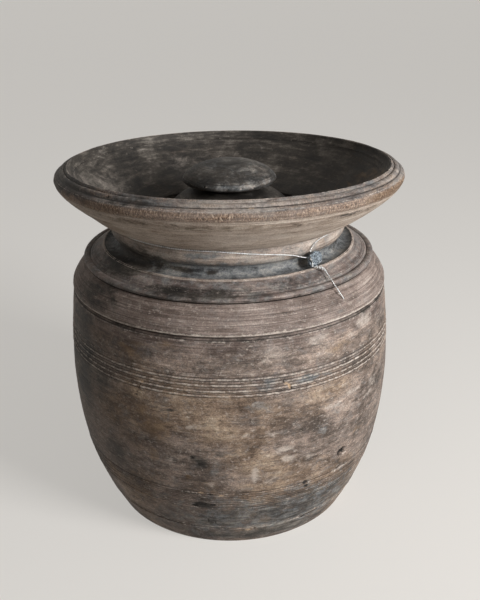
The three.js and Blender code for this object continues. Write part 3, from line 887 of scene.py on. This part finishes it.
LID_LINES = (
    # stretch, height, half width, depth in millimetres; how dark the groove and how pale its lips are
    ("knob", 369.0, 0.4, 0.25, 1.0, 0.3), ("knob", 371.2, 0.3, 0.2, 0.8, 0.2),
    ("knob", 374.6, 0.35, 0.2, 0.9, 0.3), ("knob", 378.9, 0.35, 0.2, 1.0, 0.3),
    ("knob", 381.4, 0.3, 0.15, 0.8, 0.3), ("knob", 383.2, 0.3, 0.15, 0.8, 0.2),
    ("dome", 333.0, 0.7, 0.4, 0.8, 0.4), ("dome", 346.5, 0.7, 0.4, 0.8, 0.4),
)

LID_STAINS_AND_SHADE = (
    # azimuth, height, width, tallness; dark, slate, pale, russet
    (8, 366.5, 70, 11, 0, 0.9, 0, 0),
    (-12, 365.0, 30, 7, 0, 0.3, 0.5, 0),
    (22, 367.0, 36, 8, 0, 0.3, 0.6, 0),
    (50, 368.0, 30, 8, 0, 0.5, 0.6, 0),
    (-60, 370.0, 50, 16, 0.7, 0, 0, 0.3),
    (60, 376.0, 50, 10, 0, 0, 0.4, 0),
    (130, 374.0, 60, 14, 0, 0.4, 0.3, 0),
    (-150, 372.0, 60, 16, 0.4, 0, 0.4, 0),
    # This dark stain on the dome, in front of and under the knob, is painted shade of the knob.
    (0, 336.0, 200, 20, 0.9, 0, 0, 0),
)

LID_MARKS = (
    # azimuth, height, width, tallness, depth, lean; dirty and shaded, raw, rubbed
    (-8.0, 368.5, 5.0, 2.0, 0.6, 0, 0.4, 0, 0.5),
    (14.0, 365.6, 4.0, 2.6, 0.7, 10, 0, 0, 1.0),
    (29.0, 364.8, 4.5, 3.0, 0.8, -10, 0.3, 0, 0.9),
    (-30.0, 366.0, 3.0, 3.0, 0.7, 0, 0.9, 0, 0),
    (46.0, 366.4, 3.4, 2.6, 0.7, 0, 0.6, 0, 0.4),
    (-110.0, 366.0, 4.0, 3.0, 0.8, 0, 0.7, 0, 0.4),
)


def wear_lid(mesh, s):
    """Uneven wear all over the lid and most on the knob's edge, always inwards, and the dish's shift."""
    zones = mesh.verts.layers.float_color["zones"]
    for vert in mesh.verts:
        rough = 0.2 + 0.8 * vert[zones][3]
        # Bites of two sizes, 7 and 2.2 mm, at most about half a millimetre deep
        bite = max(0.0, noise.noise(vert.co * per(7)) + 0.25 * noise.noise(vert.co * per(2.2)))
        vert.co -= vert.normal * (bite * rough * 0.9 * MM)
        vert.co.x += s.dish_shift


class POT_OT_lid(bpy.types.Operator):
    """Turn the lid: a plug that drops into the neck, a flange, a dome and a mushroom knob"""

    bl_idname = "pot.lid"
    bl_label = "Lid"

    def execute(self, context):
        s = context.scene.pot_sizes
        outline = Outline(0.0, s.seat_height + GAP - s.plug_length, "plug")
        draw_lid(outline, s)
        outline.engrave_all(LID_LINES)
        mesh = turned(outline, LID_LOOKS, sides=192)
        mesh.normal_update()
        stained(mesh, (), LID_STAINS_AND_SHADE)
        dents(mesh, LID_MARKS, sooty_and_unlit=True)
        wear_lid(mesh, s)
        material = darkened_hardwood(context.scene.pot_colours, s)
        finished(mesh, "turned_lid", material, "dark_turned_wood", "lid", "lid")
        return {"FINISHED"}


# The wire and the seal

SEAL_AZIMUTH = 40.0  # degrees from the front, towards +X
SEAL_LEAN = math.radians(10)  # how far the seal leans back against the neck


def seal_middle():
    """The middle of the seal, which stands on the lip and leans back towards the neck."""
    low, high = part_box("lead_seal")
    return (low + high) / 2


def seal_axes():
    """The seal's own directions: across its face, up its face and out of its face."""
    across = around(SEAL_AZIMUTH + 90, 1.0, 0.0)
    out = around(SEAL_AZIMUTH, math.cos(SEAL_LEAN), math.sin(SEAL_LEAN))
    return across, out.cross(across), out


def loop_route(s):
    """The loop's points, from the seal's side round the back of the neck to the seal's top."""
    beside = math.degrees((s.seal_half_width + GAP + 0.5 * s.wire_diameter) / s.lip_radius)
    reach = 0.5 * s.wire_diameter + GAP
    crease = s.neck_radius + 1.4 * reach
    swelling = s.neck_radius + 3 * MM + reach
    seal = seal_middle().z
    seal_top = seal + s.seal_half_height
    top = s.crease_height
    # Each point is a turn in degrees from the seal, a radius and a height
    route = [
        (-beside, s.lip_radius - 3.2 * MM, seal + 3.2 * MM),
        (-beside - 2, swelling + 2 * MM, seal + 4.2 * MM),
        (-10, swelling + 0.6 * MM, top - 10 * MM),
        (-15, swelling + 0.2 * MM, top - 7.5 * MM),
        (-21, swelling, top - 5.4 * MM),
        (-29, swelling - 0.3 * MM, top - 3.2 * MM),
        (-37, crease + 1.2 * MM, top - 1.4 * MM),
    ]
    route += [(-turn, crease, top - 0.35 * reach) for turn in range(46, 350, 8)]
    route += [
        (-353, crease + 0.6 * MM, top - 1.6 * MM),
        (-356.8, swelling - MM, top - 3.3 * MM),
        (-359.3, swelling + 0.5 * MM, top - 5.4 * MM),
        (-360.8, swelling + 1.2 * MM, seal_top + 2.4 * MM),
        (-361.4, swelling + 1.7 * MM, seal_top + 0.4 * MM),
    ]
    return [around(SEAL_AZIMUTH + turn, radius, height) for turn, radius, height in route]


TAIL_ROUTE = [Vector(place) * MM for place in (
    (91.0, -102.1, 302.5),
    (93.4, -104.5, 300.4),
    (95.4, -106.9, 298.5),
    (97.2, -110.2, 296.3),
    (99.2, -114.0, 294.0),
    (101.3, -117.3, 291.4),
    (103.6, -119.5, 288.0),
    (106.2, -120.5, 284.2),
    (109.0, -120.7, 279.8),
    (112.1, -120.2, 274.8),
)]

KNOT_ROUTE = [Vector(place) * MM for place in (
    (84.3, -106.6, 303.4),
    (88.8, -105.9, 302.1),
    (93.7, -105.9, 300.2),
    (95.1, -106.8, 299.2),
)]


def smoothed(route, step):
    """A route's points, closer together on a smooth curve through them."""
    line = []
    padded = [2 * route[0] - route[1], *route, 2 * route[-1] - route[-2]]
    for before, start, end, after in zip(padded, padded[1:], padded[2:], padded[3:]):
        steps = max(2, math.ceil((end - start).length / step))
        leave = start + (end - before) / 6
        arrive = end - (after - start) / 6
        line += interpolate_bezier(start, leave, arrive, end, steps + 1)[:-1]
    return [Vector(place) for place in line] + [route[-1].copy()]


def knotted(route, radius, turns):
    """A coil of so many turns wound on a route, tighter at its two ends."""
    line = smoothed(route, 0.3 * MM)
    coil = []
    for index, place in enumerate(line):
        ahead = (line[min(index + 1, len(line) - 1)] - line[max(index - 1, 0)]).normalized()
        side = ahead.cross(Vector((0, 0, 1))).normalized()
        share = index / (len(line) - 1)
        turn = math.tau * turns * share
        wide = radius * (0.45 + 0.55 * math.sin(math.pi * share) ** 0.5) * (1 + 0.12 * math.sin(2.3 * turn))
        coil.append(place + wide * (math.cos(turn) * side + math.sin(turn) * ahead.cross(side)))
    return smoothed(coil, 0.3 * MM)


def strand_section(name, s):
    """The section of a twisted wire: two round strands side by side, in one outline with a waist."""
    section = bpy.data.curves.new(name, "CURVE")
    section.dimensions = "3D"
    spline = section.splines.new("POLY")
    sides = 12
    spline.points.add(sides - 1)
    spline.use_cyclic_u = True
    strand = 0.27 * s.wire_diameter
    for index, point in enumerate(spline.points):
        turn = math.tau * index / sides
        radius = strand * (abs(math.cos(turn)) + math.sqrt(1 - 0.9 * math.sin(turn) ** 2)) * 0.93
        point.co = (radius * math.cos(turn), radius * math.sin(turn), 0, 1)
    return placed(name, section)


def twisted_wire(name, line, s, plain_start=0.0, plain_end=0.0):
    """A closed tube whose section is two strands side by side, turned steadily along the line.

    The strands lie side by side, unturned, for the plain length at either end.
    """
    total = sum((after - before).length for before, after in zip(line, line[1:]))
    section = strand_section(name + "_section", s)
    wire = bpy.data.curves.new(name, "CURVE")
    wire.dimensions = "3D"
    wire.bevel_mode = "OBJECT"
    wire.bevel_object = section
    wire.use_fill_caps = True
    wire.twist_mode = "MINIMUM"
    spline = wire.splines.new("POLY")
    spline.points.add(len(line) - 1)
    run = tilt = 0.0
    for index, point in enumerate(spline.points):
        if index:
            step = (line[index] - line[index - 1]).length
            run += step
            if plain_start <= run <= total - plain_end:
                tilt += math.tau * step / s.wire_pitch
        point.co = (*line[index], 1)
        point.tilt = tilt
    tube = placed(name, wire)
    bpy.context.view_layer.update()
    shape = tube.evaluated_get(bpy.context.evaluated_depsgraph_get())
    data = bpy.data.meshes.new_from_object(shape)
    for helper in (tube, section):
        bpy.data.objects.remove(helper)
    mesh = bmesh.new()
    mesh.from_mesh(data)
    bpy.data.meshes.remove(data)
    bmesh.ops.remove_doubles(mesh, verts=mesh.verts, dist=1e-6)
    bmesh.ops.recalc_face_normals(mesh, faces=mesh.faces)
    return mesh


class POT_OT_wire_loop(bpy.types.Operator):
    """Lay the twisted wire loop round the neck, from the seal's side to its top"""

    bl_idname = "pot.wire_loop"
    bl_label = "Wire Loop"

    def execute(self, context):
        s = context.scene.pot_sizes
        line = smoothed(loop_route(s), 0.45 * MM)
        mesh = twisted_wire("twisted_loop", line, s, plain_start=58 * MM, plain_end=40 * MM)
        material = galvanised_steel(context.scene.pot_colours)
        finished(mesh, "twisted_loop", material, "seal_wire_steel", "seal_loop", "seal_wire", sharp=80)
        return {"FINISHED"}


class POT_OT_wire_tail(bpy.types.Operator):
    """Lay the free end of the wire over the collar and onto the shoulder"""

    bl_idname = "pot.wire_tail"
    bl_label = "Wire Tail"

    def execute(self, context):
        s = context.scene.pot_sizes
        line = smoothed(TAIL_ROUTE, 0.4 * MM)
        mesh = twisted_wire("twisted_tail", line, s)
        material = galvanised_steel(context.scene.pot_colours)
        tail = finished(mesh, "twisted_tail", material, "seal_wire_steel", "seal_loop", "wire_tail", sharp=80)
        return {"FINISHED"}


class POT_OT_wire_knot(bpy.types.Operator):
    """Wind the wire's end round itself below the seal, where the tail begins"""

    bl_idname = "pot.wire_knot"
    bl_label = "Wire Knot"

    def execute(self, context):
        s = context.scene.pot_sizes
        mesh = twisted_wire("wire_knot", knotted(KNOT_ROUTE, radius=1.0 * MM, turns=4.5), s)
        material = galvanised_steel(context.scene.pot_colours)
        finished(mesh, "wire_knot", material, "seal_wire_steel", "seal_loop", sharp=80)
        return {"FINISHED"}


def spot(place, x, y, spread):
    """1 at a place on the seal's face and less away from it."""
    return math.exp(-((place.x - x) ** 2 + (place.y - y) ** 2) / spread)


def strip(away, width):
    """1 along a line on the seal's face and less away from it."""
    return math.exp(-(away / width) ** 2)


def crimped_pad(s):
    """A ball squashed to a slightly square pad, with a fold at its left, a hem at its foot and a dimple."""
    middle = seal_middle()
    across, up, out = seal_axes()
    half = 0.5 * s.seal_thickness
    mesh = bmesh.new()
    bmesh.ops.create_uvsphere(mesh, u_segments=96, v_segments=60, radius=1.0)
    wear = mesh.verts.layers.float_color.new("wear")
    for vert in mesh.verts:
        x, y, z = vert.co
        wide = math.hypot(x, y) ** 0.5
        flat = math.copysign(abs(z) ** 0.45, z)
        front = flat > 0
        turn = math.atan2(y, x)
        corner = 1.05 - 0.04 * math.cos(4 * turn) - 0.1 * math.cos(turn * 2 + 0.9)
        place = Vector((wide * corner * math.cos(turn), wide * corner * math.sin(turn), flat))
        fold = strip(place.x + 0.80 + 0.16 * place.y, 0.11) * front
        hem = strip(place.y + 0.62 - 0.12 * place.x, 0.16) * front * smooth(place.x, -0.5, 0.1)
        dimple = spot(place, 0.15, 0.1, 0.18) * front
        lumps = 0.14 * noise.noise(place * 2.4) + 0.09 * noise.noise(place * 6)
        shrink = 0.95 + lumps
        vert.co = middle + across * (place.x * s.seal_half_width * shrink)
        vert.co += up * (place.y * s.seal_half_height * shrink)
        vert.co += out * (half * (flat * (0.62 + lumps) + 0.34 * fold + 0.22 * hem - 0.22 * dimple))
        vert[wear] = (dimple, min(1.0, fold + 0.6 * hem), 0.0, 1.0)
    bmesh.ops.recalc_face_normals(mesh, faces=mesh.faces)
    return mesh


class POT_OT_seal(bpy.types.Operator):
    """Squeeze the lead seal flat on the wire's two ends"""

    bl_idname = "pot.seal"
    bl_label = "Lead Seal"

    def execute(self, context):
        mesh = crimped_pad(context.scene.pot_sizes)
        material = dull_lead(context.scene.pot_colours)
        finished(mesh, "crimped_seal", material, "crimped_lead", "seal_loop", "lead_seal", sharp=60)
        return {"FINISHED"}


# Materials

# Real tool lines lie half a millimetre apart, and pores and dust are finer still. The render would lose
# them, so lines, specks and pores are drawn as coarse as they need to show.

WOOD_PATTERNS = (
    # name, width and tallness in millimetres, detail, roughness, distortion
    ("clouds", 55, 36, 7.0, 0.62, 0.5),
    ("patches", 130, 90, 4.0, 0.55, 0.0),
    ("mottles", 18, 9, 8.0, 0.72, 0.6),
    ("dashes", 32, 4.5, 6.0, 0.7, 0.3),
    ("lines", 150, 1.4, 5.0, 0.8, 0.0),
    ("scuffs", 14, 10, 6.0, 0.7, 0.8),
    ("flecks", 5, 3, 5.0, 0.7, 0.2),
    ("crackle", 5.5, 2.6, 8.0, 0.8, 1.6),
    ("specks", 1.4, 1.4, 3.0, 0.6, 0.0),
    ("pores", 1.4, 3.6, 7.0, 0.8, 0.4),
)

WOOD_PAINT = {  # what the channels of each vertex colour mean
    "zones": ("sooty_and_unlit", "slaty", "bare", "pitted"),
    # The wear's first channel is dirt with painted shade in grooves and pits, its second rubbed wear with
    # painted highlight on edges.
    "wear": ("dirty_and_shaded", "rubbed_and_highlit", "raw"),
    "stains_and_shade": ("dark", "slate", "pale", "russet"),
}

WOOD_TONES = {  # how much of each pattern makes a tone; the shares add up to one
    "wood tone": (("clouds", 0.36), ("mottles", 0.32), ("dashes", 0.18), ("patches", 0.14)),
    "streak tone": (("lines", 0.28), ("dashes", 0.3), ("clouds", 0.28), ("patches", 0.14)),
    "bare tone": (("dashes", 0.4), ("mottles", 0.25), ("clouds", 0.2), ("lines", 0.15)),
    "film tone": (("dashes", 0.35), ("scuffs", 0.2), ("clouds", 0.2), ("flecks", 0.25)),
    "soot tone": (("scuffs", 0.18), ("dashes", 0.36), ("flecks", 0.1), ("clouds", 0.36)),
    "relief": (("lines", 0.45), ("dashes", 0.3), ("specks", 0.25)),
}

WOOD_MASKS = (
    # name, painted value, the pattern that frays its edge, the pattern's share, start and full value
    ("slaty", "slaty", "scuffs", 1.2, 0.75, 1.4),
    ("pitted", "pitted", "dashes", 3.0, 1.75, 3.2),
    ("dark", "dark", "mottles", 2.2, 1.3, 1.95),
    ("slate", "slate", "scuffs", 2.4, 1.45, 2.3),
    ("pale", "pale", "mottles", 2.4, 1.4, 2.2),
    ("russet", "russet", "mottles", 2.0, 1.2, 2.0),
    # Dirt with painted shade darkens grooves, creases and pits.
    ("dirty_and_shaded", "dirty_and_shaded", "flecks", 1.0, 0.75, 1.55),
    # Rubbed wear with painted highlight lightens edges, lips and ridges.
    ("rubbed_and_highlit", "rubbed_and_highlit", "flecks", 3.6, 2.3, 3.25),
)


def wood_ramps(c):
    """How each pattern or tone turns into a shade or a share: its name, what it reads and its stops."""
    return {
        "high wood": (
            "streak tone", (0.39, linear(0x392F2A)), (0.45, linear(0x5E504A)), (0.51, linear(0x7E6F68)),
            (0.57, linear(0x9A8B83)), (0.64, linear(0xBDB0A7))),
        "warm": ("patches", (0.49, 0.0), (0.6, 0.55)),
        "crazing": ("crackle", (0.38, 0.12), (0.47, 0.46), (0.54, 0.54), (0.64, 0.9)),
        "wood": (
            "wood tone", (0.4, c.umber), (0.462, c.loam), (0.515, c.brown), (0.566, c.tan),
            (0.64, c.bleached)),
        "bare wood": (
            "bare tone", (0.36, linear(0x7D6B5B)), (0.43, linear(0xA39283)), (0.5, linear(0xC0B0A2)),
            (0.57, linear(0xD3C5B7)), (0.66, linear(0xE2D8CE))),
        "red": ("wood tone", (0.41, linear(0x392C1F)), (0.51, c.russet), (0.6, linear(0xAB9577))),
        "slate film": (
            "film tone", (0.37, linear(0x1B1B1C)), (0.44, linear(0x454647)), (0.5, c.slate),
            (0.57, linear(0x98958F)), (0.66, linear(0xAEA59A))),
        "soot_and_shade": (
            "soot tone", (0.38, linear(0x131110)), (0.45, linear(0x2B2825)), (0.51, c.soot_and_shade),
            (0.57, linear(0x69635C)), (0.65, linear(0x99928A))),
        "pit": (
            "pores", (0.4, linear(0x1C130D)), (0.47, linear(0x5C4333)), (0.53, linear(0x987A62)),
            (0.61, linear(0xDAC7B2))),
        "film": ("scuffs", (0.5, 0.0), (0.68, 0.45)),
        "fleck": ("flecks", (0.55, 0.0), (0.68, 0.5)),
        "line": ("lines", (0.3, 0.25), (0.5, 0.5), (0.72, 0.8)),
        "grit": ("specks", (0.3, 0.3), (0.7, 0.7)),
    }


def wood_layers(field, c):
    """What lies over the worn wood, from the wood outwards: mask or share, shade and blend."""
    return (
        ("warm", field["red"], "MIX"), (0.75, field["crazing"], "OVERLAY"),
        ("high", field["high wood"], "MIX"), ("film", c.ash, "MIX"), ("fleck", c.bleached, "MIX"),
        ("bare", field["bare wood"], "MIX"), (0.5, field["line"], "OVERLAY"),
        # The sooty zone also covers the hollow, whose dark is painted shade.
        ("sooty_and_unlit", field["soot_and_shade"], "MIX"), ("russet", field["red"], "MIX"),
        ("slaty", field["slate film"], "MIX"), ("slate", field["slate film"], "MIX"),
        # Dark stains take the soot shades; some of them are painted shade.
        ("pale", c.bleached, "MIX"), ("pitted", field["pit"], "MIX"), ("dark", field["soot_and_shade"], "MIX"),
        # Grooves and pits darken with dirt and painted shade; edges lighten with rubbed wear and painted
        # highlight.
        ("dirty_and_shaded", c.dirt_and_shade, "MIX"), ("rubbed_and_highlit", c.bleached, "MIX"), ("raw", c.fresh, "MIX"),
        (0.7, field["grit"], "OVERLAY"),
    )


def wood_field(tree, c, s):
    """The wood's patterns, painted values, tones, masks and shades: an output of the tree for each name."""
    field = {}
    where = add(tree, "ShaderNodeTexCoord").outputs["Object"]
    for name, wide, tall, detail, roughness, distortion in WOOD_PATTERNS:
        scale = (per(wide), per(wide), per(tall))
        stretched = add(tree, "ShaderNodeMapping", {"Vector": where, "Scale": scale})
        field[name] = add(tree, "ShaderNodeTexNoise", {
            "Vector": stretched, "Scale": 1.0, "Detail": detail, "Roughness": roughness,
            "Distortion": distortion})
    for layer, channels in WOOD_PAINT.items():
        painted = add(tree, "ShaderNodeAttribute", attribute_name=layer).outputs
        split = add(tree, "ShaderNodeSeparateColor", {"Color": painted["Color"]}).outputs
        field.update(zip(channels, (split["Red"], split["Green"], split["Blue"], painted["Alpha"])))
    for name, shares in WOOD_TONES.items():
        total = 0.0
        for pattern, share in shares:
            inputs = {0: field[pattern], 1: share, 2: total}
            total = add(tree, "ShaderNodeMath", inputs, operation="MULTIPLY_ADD")
        field[name] = total
    for name, painted, pattern, share, start, full in WOOD_MASKS:
        inputs = {0: field[pattern], 1: share, 2: field[painted]}
        frayed = add(tree, "ShaderNodeMath", inputs, operation="MULTIPLY_ADD")
        inputs = {"Value": frayed, "From Min": start, "From Max": full}
        field[name] = add(tree, "ShaderNodeMapRange", inputs, interpolation_type="SMOOTHSTEP")
    height = add(tree, "ShaderNodeSeparateXYZ", {"Vector": where}).outputs["Z"]
    field["high"] = add(tree, "ShaderNodeMapRange", {
        "Value": height, "From Min": s.shoulder_height - 22 * MM, "From Max": s.shoulder_height + 2 * MM})
    for name, (tone, *stops) in wood_ramps(c).items():
        field[name] = add(tree, "ShaderNodeValToRGB", {"Fac": field[tone]}, stops=stops)
    inputs = {0: field["sooty_and_unlit"], 1: -0.25, 2: 0.62}
    softer = add(tree, "ShaderNodeMath", inputs, operation="MULTIPLY_ADD")
    field["pale"] = add(tree, "ShaderNodeMath", {0: field["pale"], 1: softer}, operation="MULTIPLY")
    return field


def weathered_hardwood(c, s):
    """Old hardwood turned on a lathe, never varnished: the eye reads tool lines, clouds of wear and dirt,
    with painted shade in grooves, on the shaded side and under the dish, and painted highlight on edges.
    """
    material, tree = new_material("weathered_hardwood")
    field = wood_field(tree, c, s)
    wood = field["wood"]
    for mask, shade, mode in wood_layers(field, c):
        inputs = {"Factor": field.get(mask, mask), "A": wood, "B": shade}
        wood = add(tree, "ShaderNodeMix", inputs, data_type="RGBA", blend_type=mode, clamp_factor=True)
    inputs = {0: field["scuffs"], 1: 0.35, 2: 0.48}
    rough = add(tree, "ShaderNodeMath", inputs, operation="MULTIPLY_ADD")
    inputs = {0: field["pores"], 1: field["pitted"], 2: field["relief"]}
    deep = add(tree, "ShaderNodeMath", inputs, operation="MULTIPLY_ADD")
    bump = add(tree, "ShaderNodeBump", {"Height": deep, "Strength": 0.8, "Distance": 1.0 * MM})
    surface = add(tree, "ShaderNodeBsdfPrincipled", {
        "Base Color": wood, "Roughness": rough, "Normal": bump, "IOR": 1.45, "Specular IOR Level": 0.35})
    add(tree, "ShaderNodeOutputMaterial", {"Surface": surface})
    return material


def darkened_hardwood(c, s):
    """The same hardwood blackened by hands, oil and smoke, rubbed grey where fingers grip it.

    The lid's painted zones are sooty, which picks the dark shades. A dark stain on the dome under the knob is
    painted shade.
    """
    material = weathered_hardwood(c, s)
    material.name = "darkened_hardwood"
    return material


def galvanised_steel(c):
    """Drawn steel wire with a bright zinc skin: the eye reads white glints between grey twists."""
    material, tree = new_material("galvanised_steel_wire")
    where = add(tree, "ShaderNodeTexCoord").outputs["Object"]
    # Patches of duller zinc, 3 mm long
    spots = add(tree, "ShaderNodeTexNoise", {"Vector": where, "Scale": per(3), "Detail": 4.0})
    tint = add(tree, "ShaderNodeValToRGB", {"Fac": spots}, stops=((0.35, linear(0xC4C6C7)), (0.5, c.zinc)))
    shader = add(tree, "ShaderNodeBsdfPrincipled", {"Base Color": tint, "Metallic": 0.2, "Roughness": 0.3})
    add(tree, "ShaderNodeOutputMaterial", {"Surface": shader})
    return material


def dull_lead(c):
    """Soft lead, crimped cold: dull blue-grey and finely speckled, with bright metal on its folds."""
    material, tree = new_material("dull_lead")
    where = add(tree, "ShaderNodeTexCoord").outputs["Object"]
    wear = add(tree, "ShaderNodeAttribute", attribute_name="wear")
    worn = add(tree, "ShaderNodeSeparateColor", {"Color": wear.outputs["Color"]}).outputs
    # The real bloom is finer than a millimetre. It is drawn this coarse to show.
    spots = add(tree, "ShaderNodeTexNoise", {
        "Vector": where, "Scale": per(1.2), "Detail": 5.0, "Roughness": 0.75})
    tint = add(tree, "ShaderNodeValToRGB", {"Fac": spots},
               stops=((0.4, linear(0x1B1F23)), (0.5, c.lead), (0.58, linear(0x8D979F)), (0.68, c.oxide)))
    folded = add(tree, "ShaderNodeMath", {0: spots, 1: worn["Green"]}, operation="MULTIPLY")
    bright = add(tree, "ShaderNodeMapRange", {"Value": folded, "From Min": 0.25, "From Max": 0.5})
    shade = add(tree, "ShaderNodeMix", {"Factor": bright, "A": tint, "B": c.zinc}, data_type="RGBA")
    bump = add(tree, "ShaderNodeBump", {"Height": spots, "Strength": 0.7, "Distance": 0.5 * MM})
    shader = add(tree, "ShaderNodeBsdfPrincipled", {
        "Base Color": shade, "Metallic": 0.5, "Roughness": 0.5, "Normal": bump})
    add(tree, "ShaderNodeOutputMaterial", {"Surface": shader})
    return material


# The stage

CAMERA_PLACE = (0.0118, -0.863, 0.5853)
CAMERA_PITCH = math.radians(22.68)  # downwards
CAMERA_ROLL = math.radians(-0.68)
LENS = 50.0  # millimetres
SENSOR = 36.0  # the sensor's width in millimetres
FLOOR_REACH = 20.0  # from the middle to the edge, in metres
AIM = (0, 0, 0.2)  # what the lamps look at


def background_seen(tree):
    """1 for the camera and in reflections, and 0 for the light that falls on the object."""
    rays = add(tree, "ShaderNodeLightPath").outputs
    inputs = {0: rays["Is Camera Ray"], 1: rays["Is Glossy Ray"]}
    return add(tree, "ShaderNodeMath", inputs, operation="MAXIMUM")


def studio_floor():
    """A plain matt studio floor, which the camera and reflections see a little paler than it lights."""
    material, tree = new_material("pale_floor")
    paler = add(tree, "ShaderNodeMath", {0: background_seen(tree), 1: 0.52}, operation="MULTIPLY")
    shader = add(tree, "ShaderNodeBsdfPrincipled", {
        "Base Color": linear(0xA5A29E), "Roughness": 0.9, "Emission Color": linear(0xF2EFEA),
        "Emission Strength": paler})
    add(tree, "ShaderNodeOutputMaterial", {"Surface": shader})
    return material


def lamp(name, place, size, power):
    """A soft square lamp that looks at the pot."""
    data = bpy.data.lights.new(name, "AREA")
    data.energy = power
    data.size = size
    light = placed(name, data)
    light.location = place
    light.rotation_euler = (Vector(AIM) - Vector(place)).to_track_quat("-Z", "Y").to_euler()


def stand_camera(scene):
    """The camera, whose turn is worked out from its pitch and roll."""
    data = bpy.data.cameras.new("camera")
    data.lens = LENS
    data.sensor_width = SENSOR
    camera = placed("camera", data)
    ahead = Vector((0, math.cos(CAMERA_PITCH), -math.sin(CAMERA_PITCH)))
    side = Vector((1, 0, 0))
    above = side.cross(ahead)
    right = side * math.cos(CAMERA_ROLL) + above * math.sin(CAMERA_ROLL)
    up = above * math.cos(CAMERA_ROLL) - side * math.sin(CAMERA_ROLL)
    camera.location = CAMERA_PLACE
    camera.rotation_euler = Matrix((right, up, -ahead)).transposed().to_euler()
    scene.camera = camera


def lay_floor():
    """A wide plain floor, which isn't part of the object."""
    ground = bmesh.new()
    bmesh.ops.create_grid(ground, x_segments=1, y_segments=1, size=FLOOR_REACH)
    data = bpy.data.meshes.new("floor")
    ground.to_mesh(data)
    ground.free()
    data.materials.append(studio_floor())
    floor = placed("floor", data)


def light_world(scene):
    """A dim even sky for the object, and a pale backdrop for the camera and reflections."""
    world = bpy.data.worlds.new("studio")
    scene.world = world
    world.use_nodes = True
    tree = world.node_tree
    tree.nodes.clear()
    seen = background_seen(tree).outputs[0]
    light = add(tree, "ShaderNodeBackground", {"Color": linear(0xFFF8F0), "Strength": 0.09}).outputs[0]
    backdrop = add(tree, "ShaderNodeBackground", {"Color": linear(0xE4E1DC), "Strength": 0.8}).outputs[0]
    mixed = add(tree, "ShaderNodeMixShader", {0: seen, 1: light, 2: backdrop}).outputs[0]
    add(tree, "ShaderNodeOutputWorld", {"Surface": mixed})


class POT_OT_stage(bpy.types.Operator):
    """Set the camera, the plain floor, the lamps and the world"""

    bl_idname = "pot.stage"
    bl_label = "Stage"

    def execute(self, context):
        scene = context.scene
        stand_camera(scene)
        lay_floor()
        lamp("key", (1.45, -1.15, 0.95), size=0.7, power=44)
        lamp("fill", (-0.9, -1.9, 1.4), size=1.6, power=1.4)
        light_world(scene)
        scene.view_settings.view_transform = "Standard"
        return {"FINISHED"}


# The add-on

class POT_PT_panel(bpy.types.Panel):
    """The pot's sizes, colours and pieces in the 3D view's sidebar"""

    bl_label = "Lidded Wooden Pot"
    bl_idname = "POT_PT_panel"
    bl_space_type = "VIEW_3D"
    bl_region_type = "UI"
    bl_category = "Pot"

    def draw(self, context):
        for operator in OPERATORS:
            self.layout.operator(operator.bl_idname)
        for group in (context.scene.pot_sizes, context.scene.pot_colours):
            column = self.layout.column(align=True)
            for name in group.__annotations__:
                column.prop(group, name)


OPERATORS = (
    POT_OT_stage, POT_OT_wire_tail, POT_OT_wire_loop, POT_OT_wire_knot, POT_OT_seal, POT_OT_body, POT_OT_lid,
)
CLASSES = (PotSizes, PotColours, *OPERATORS, POT_PT_panel)


def register():
    for cls in CLASSES:
        bpy.utils.register_class(cls)
    bpy.types.Scene.pot_sizes = bpy.props.PointerProperty(type=PotSizes)
    bpy.types.Scene.pot_colours = bpy.props.PointerProperty(type=PotColours)


def unregister():
    del bpy.types.Scene.pot_sizes
    del bpy.types.Scene.pot_colours
    for cls in reversed(CLASSES):
        bpy.utils.unregister_class(cls)


def main():
    register()
    bpy.ops.pot.stage()
    bpy.ops.pot.wire_tail()
    bpy.ops.pot.wire_loop()
    bpy.ops.pot.wire_knot()
    bpy.ops.pot.seal()
    bpy.ops.pot.body()
    bpy.ops.pot.lid()


if __name__ == "__main__":
    main()
